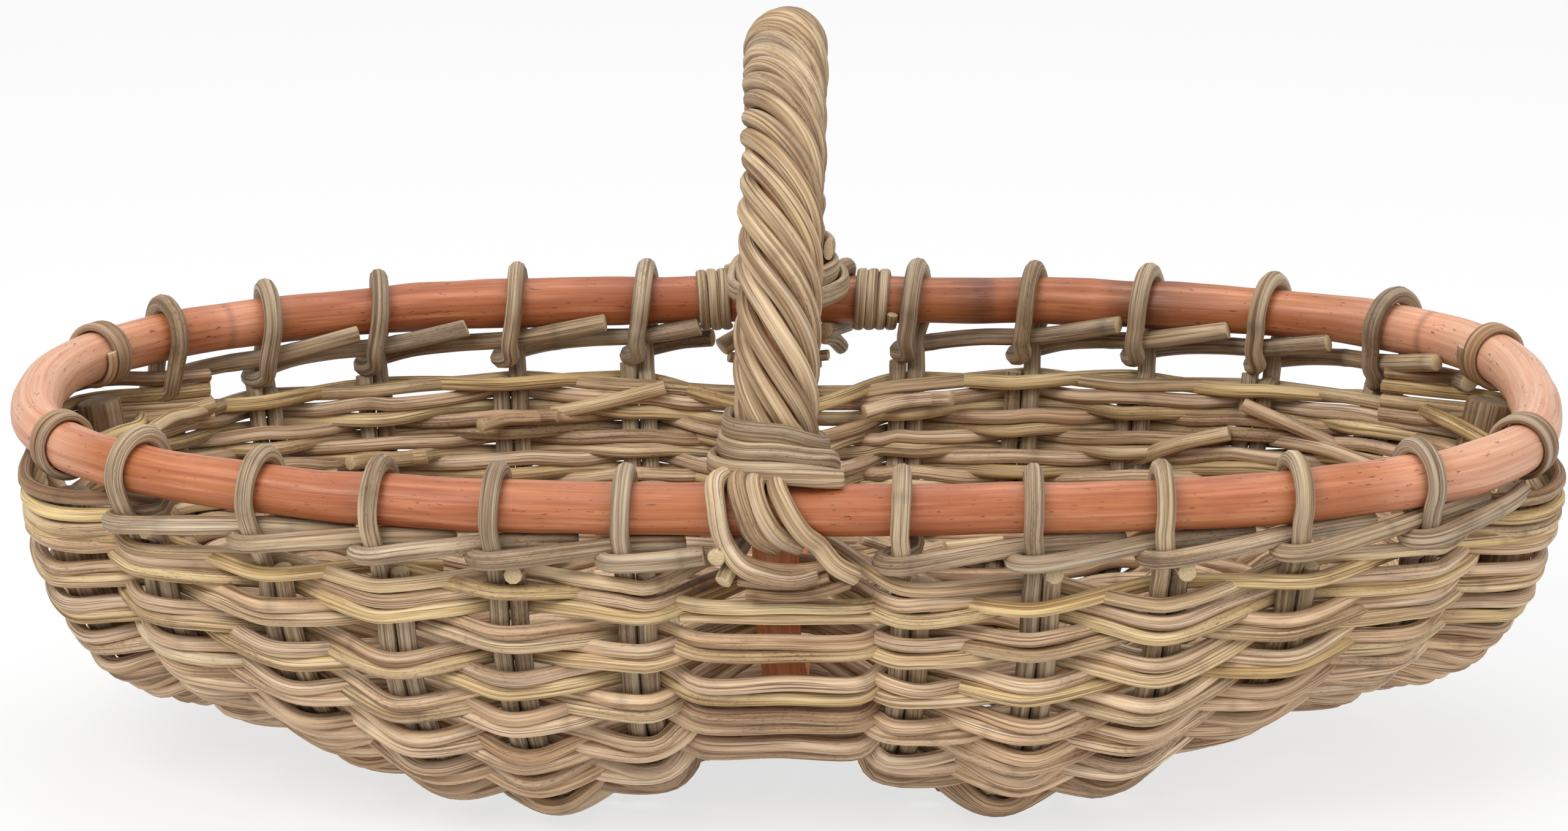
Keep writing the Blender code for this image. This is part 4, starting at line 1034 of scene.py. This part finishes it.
def make_handle_canes():
    """Canes twisted round the handle pole; half of them end in flares over the rim at each foot."""
    half_turn = np.array((-1.0, -1.0, 1.0))
    for number in range(STRAND_COUNT):
        back_number = (STRAND_COUNT // 2 - number) % STRAND_COUNT
        ends = []
        for place in (number, back_number):
            turned = math.pi - math.tau * place / STRAND_COUNT
            if place < len(FLARES):
                ends.append(flare_foot(place))
            else:
                centre, outward = hoop_frame(13 * MM)
                turn = turned - math.radians(30)
                ends.append([centre + (ALONG * math.cos(turn) + outward * math.sin(turn)) * STRAND_CIRCLE])
        crown = strand_crown(math.pi - math.tau * number / STRAND_COUNT)
        points = ends[0][::-1] + crown + [point * half_turn for point in ends[1]]
        cane = Cane(points, STRAND_ROD, HANDLE_CANE, 2000 + number, sides=14, step=2.5 * MM, wobble=0.55 * MM,
                    nodes=150 * MM)
        make_piece(f"handle_cane_{number + 1}", [cane], HANDLE_FINISH, "handle_cane", f"handle_strand_{number + 1}")


make_handle_canes()

# Bindings and windings
BINDING_ROD = 0.0042
BINDING_WIDTH = 8.8 * MM
# How a leg's binding lies: degrees turned, distance from the leg and rise over the rim in mm, tilt in degrees
BINDING_LAY = ((0, 18.8, 28.6, 0), (20, 18.8, 28.3, 0), (110, 18.9, 29.6, 0), (200, 18.9, 18.2, 0),
               (290, 19.2, 17.5, 0), (380, 20.4, 20, 0), (470, 21.6, 22.4, 4), (520, 24.2, 18.4, 14),
               (560, 22.4, 11.4, 0), (650, 20.5, 10, 0), (740, 24.6, 12.6, 0), (785, 25.6, 14.8, 0),
               (830, 25.9, 16.6, 8), (856, 28.6, 15.4, 28), (880, 33, 12.6, 55))


def foot_stubs(side):
    """Two cut ends that stick out beside the flares."""
    stubs = []
    for number, line in enumerate((((-17, -9, -11), (-22, 4, -13.4), (-26.4, 13.5, -14.6)),
                                   ((-16, -6, -14.5), (-20, 5, -18.6), (-23.8, 12.5, -24.6)))):
        points = [np.array((side * along * MM, -side * (RIM_HALF_WIDTH + out * MM), RIM_HEIGHT + rise * MM))
                  for along, out, rise in line]
        stubs.append(Cane(points, 6.8 * MM, BINDING_CANE, 2150 + number + side, step=3 * MM, wobble=0.1 * MM, nodes=0))
    for number, line in enumerate((((-18, 6, -26.5), (-6, 8, -27.6), (5, 8.5, -27.2), (16, 7, -24.5)),
                                   ((-15, 8, -30.5), (2, 9.5, -31), (14, 9.5, -29.5), (24, 7, -27)),
                                   ((-20, 8, -14.5), (-12, 10, -18.2), (-2, 10.8, -20), (9, 9.8, -20), (17, 7, -18.6)))):
        points = [np.array((side * along * MM, -side * (RIM_HALF_WIDTH + out * MM), RIM_HEIGHT + rise * MM))
                  for along, out, rise in line]
        stubs.append(Cane(points, 4.6 * MM, CORNER_CANE, 2160 + number + side, wobble=0.6 * MM, nodes=12 * MM))
    return stubs


def make_leg_bindings():
    """Split cane bound round the strands just above the rim, tilted and wider towards its low end."""
    for number, front in enumerate((True, False)):
        side = 1 if front else -1
        points, normals = [], []
        for turned in np.linspace(0, BINDING_LAY[-1][0], 31):
            turn = math.radians(200 - turned)
            radius, rise, tilt = (np.interp(turned, [lay[0] for lay in BINDING_LAY], [lay[part] for lay in BINDING_LAY])
                                  for part in (1, 2, 3))
            direction = np.array((side * math.cos(turn), -side * math.sin(turn), 0))
            centre = np.array((leg_lean(0) if front else 0, -side * LEG_PLACE, RIM_HEIGHT + rise * MM))
            points.append(centre + direction * radius * MM)
            normals.append(direction * math.cos(math.radians(tilt)) + UP * math.sin(math.radians(tilt)))
        cane = Cane(points, BINDING_ROD, BINDING_CANE, 2100 + number, wide=BINDING_WIDTH / BINDING_ROD,
                    normals=np.array(normals), sides=16, step=2 * MM, square=2.6, wobble=0.3 * MM, nodes=0)
        name = "front" if front else "back"
        make_piece(f"leg_binding_{name}", [cane, *foot_stubs(side)], BINDING_FINISH, "binding_cane",
                   f"foot_binding_{name}")


def rim_winding(start, turns, rod, width, pitch, look, seed):
    """Split cane wound round the rim pole from a length along it."""
    radius = RIM_RADIUS + rod / 2 + 0.2 * MM
    points, normals = [], []
    for turned in np.linspace(0, abs(turns), round(abs(turns) * 20) + 1):
        turn = math.tau * turned
        place = start + math.copysign(pitch * turned, turns)
        axis = beside_rim(place, 0, 0)
        point = beside_rim(place, -radius * math.sin(turn), -radius * math.cos(turn))
        points.append(point)
        normals.append(unit(point - axis))
    return Cane(points, rod, look, seed, wide=width / rod, normals=np.array(normals), sides=12, step=2 * MM,
                square=2.6, wobble=0.2 * MM, nodes=0)


def make_rim_windings():
    """Windings on the back of the rim beside the handle, and over the corner posts."""
    middle = rim_length(angle_at(0, False))
    left = rim_winding(middle + 24.5 * MM, 2.5, 2.9 * MM, 4.5 * MM, 4.6 * MM, BINDING_CANE, 2201)
    right = rim_winding(middle - 30.2 * MM, -3.2, 2.9 * MM, 4.5 * MM, 4.6 * MM, BINDING_CANE, 2202)
    make_piece("rim_winding_left", [left], BINDING_FINISH, "binding_cane", "rim_wrap_left")
    make_piece("rim_winding_right", [right], BINDING_FINISH, "binding_cane", "rim_wrap_right")
    for number, (at_left, front) in enumerate(((True, True), (False, True), (False, False), (True, False))):
        start = rim_length(post_angle(at_left, front)) - 6.9 * MM
        winding = rim_winding(start, 2.3, 3.2 * MM, 4.8 * MM, 5.0 * MM, CORNER_CANE, 2210 + number)
        make_piece(f"corner_winding_{number + 1}", [winding], BINDING_FINISH, "binding_cane",
                   f"corner_wrap_{number + 1}")


make_leg_bindings()
make_rim_windings()


def mat_lift(share):
    """Height of the mat's middle over the ground."""
    if MAT_FLAT_SHARES[0] <= abs(share) <= MAT_FLAT_SHARES[1]:
        return MAT_THICKNESS / 2
    return RIM_HEIGHT - floor_depth(share) - STAKE_RADIUS - 1.2 * MM - MAT_THICKNESS / 2


FLOOR_RING_SHARES = (0.835, 0.872, 0.909, 0.946, 0.983)


def make_woven_floor():
    """Woven bottom: split canes along it, over and under laths across it."""
    canes = []
    stations = np.linspace(-0.985, 0.985, 29)
    for number, share in enumerate(stations):
        power = LEFT_END_POWER if share < 0 else RIGHT_END_POWER
        width = FLOOR_HALF_WIDTH * (1 - abs(share) ** power) ** (1 / power)
        points = [(share * FLOOR_HALF_LENGTH, place * width, mat_lift(share)) for place in (-1, -0.5, 0, 0.5, 1)]
        canes.append(Cane(points, 2.2 * MM, WEAVER_GREY, 2400 + number, wide=2.6, sides=8, step=8 * MM,
                          normals=np.tile(UP, (5, 1)), wobble=0.1 * MM, nodes=0, square=2.6))
    strips = 15
    for number in range(strips):
        place = (number - (strips - 1) / 2) * 9.2 * MM
        y_share = abs(place) / FLOOR_HALF_WIDTH
        reach = 0.99 * (1 - y_share ** 2.4) ** (1 / 2.4)
        points = []
        for step, share in enumerate(stations):
            if abs(share) <= reach:
                over = 1 if (step + number) % 2 else -1
                points.append((share * FLOOR_HALF_LENGTH, place, mat_lift(share) + over * 1.4 * MM))
        if len(points) > 3:
            canes.append(Cane(points, 1.9 * MM, WEAVER_GREY, 2450 + number, wide=4.2, sides=8, step=5 * MM,
                              normals=np.tile(UP, (len(points), 1)), wobble=0.1 * MM, nodes=0, square=2.6))
    angles = np.linspace(0, math.tau, 90, endpoint=False)
    for number, share in enumerate(FLOOR_RING_SHARES):
        points = []
        for step, angle in enumerate(angles):
            point, outward, _ = wall_frame(angle, share)
            points.append(point + outward * (1.6 if (step + number) % 2 else -1.6) * MM)
        canes.append(Cane(points, 5.2 * MM, (WEAVER_GREY, WEAVER_MILD)[number % 2], 2480 + number, closed=True,
                          step=5 * MM, wobble=0.3 * MM))
    make_piece("woven_floor", canes, WEAVER_FINISH, "mat_cane", "base_mat")


make_woven_floor()


def make_studio():
    """Pale floor, soft lamps and the camera of the photograph."""
    scene = bpy.context.scene
    scene.view_settings.view_transform = "Standard"
    bpy.ops.mesh.primitive_plane_add(size=12, location=(0, 0, 0))
    floor = bpy.context.object
    floor.name = "studio_floor"
    material = bpy.data.materials.new("studio_white")
    material.use_nodes = True
    tree = material.node_tree
    shader = tree.nodes["Principled BSDF"]
    shader.inputs["Base Color"].default_value = (0.8, 0.8, 0.8, 1)
    shader.inputs["Roughness"].default_value = 0.9
    glow = tree.nodes.new("ShaderNodeEmission")
    glow.inputs["Strength"].default_value = 1.0
    seen = tree.nodes.new("ShaderNodeLightPath")
    share = tree.nodes.new("ShaderNodeMath")
    share.operation = "MULTIPLY"
    share.inputs[1].default_value = 0.72
    blend = tree.nodes.new("ShaderNodeMixShader")
    tree.links.new(seen.outputs["Is Camera Ray"], share.inputs[0])
    tree.links.new(share.outputs[0], blend.inputs[0])
    tree.links.new(shader.outputs[0], blend.inputs[1])
    tree.links.new(glow.outputs[0], blend.inputs[2])
    tree.links.new(blend.outputs[0], tree.nodes["Material Output"].inputs["Surface"])
    floor.data.materials.append(material)
    world = bpy.data.worlds.new("studio")
    scene.world = world
    world.use_nodes = True
    tree = world.node_tree
    background = tree.nodes["Background"]
    background.inputs["Color"].default_value = (1, 1, 1, 1)
    seen = tree.nodes.new("ShaderNodeLightPath")
    either = tree.nodes.new("ShaderNodeMath")
    either.operation = "MAXIMUM"
    every = tree.nodes.new("ShaderNodeMath")
    every.operation = "MAXIMUM"
    strength = tree.nodes.new("ShaderNodeMapRange")
    strength.inputs["To Min"].default_value = 0.5
    strength.inputs["To Max"].default_value = 1.0
    tree.links.new(seen.outputs["Is Camera Ray"], either.inputs[0])
    tree.links.new(seen.outputs["Is Glossy Ray"], either.inputs[1])
    tree.links.new(either.outputs[0], every.inputs[0])
    tree.links.new(seen.outputs["Is Transmission Ray"], every.inputs[1])
    tree.links.new(every.outputs[0], strength.inputs["Value"])
    tree.links.new(strength.outputs["Result"], background.inputs["Strength"])
    for name, place, size, power in (("key", (-1.1, -1.5, 1.9), 1.3, 44), ("fill", (1.6, -1.3, 1.3), 1.6, 18),
                                     ("top", (0.1, 0.5, 2.3), 1.6, 24)):
        lamp = bpy.data.lights.new(name, "AREA")
        lamp.energy = power
        lamp.size = size
        made = bpy.data.objects.new(name, lamp)
        scene.collection.objects.link(made)
        made.location = place
        away = -np.array(place) + np.array((0, 0, 0.1))
        made.rotation_euler = (math.acos(-away[2] / np.linalg.norm(away)), 0, math.atan2(away[1], away[0]) - math.pi / 2)
    view = bpy.data.cameras.new("camera")
    view.lens = 154.55
    view.sensor_width = 36
    view.shift_x = -3 / 2560
    view.clip_end = 50
    camera = bpy.data.objects.new("camera", view)
    scene.collection.objects.link(camera)
    camera.location = (0, -2.589, 0.906)
    camera.rotation_euler = (math.pi / 2 - math.asin(0.2840), 0, 0)
    scene.camera = camera


make_studio()
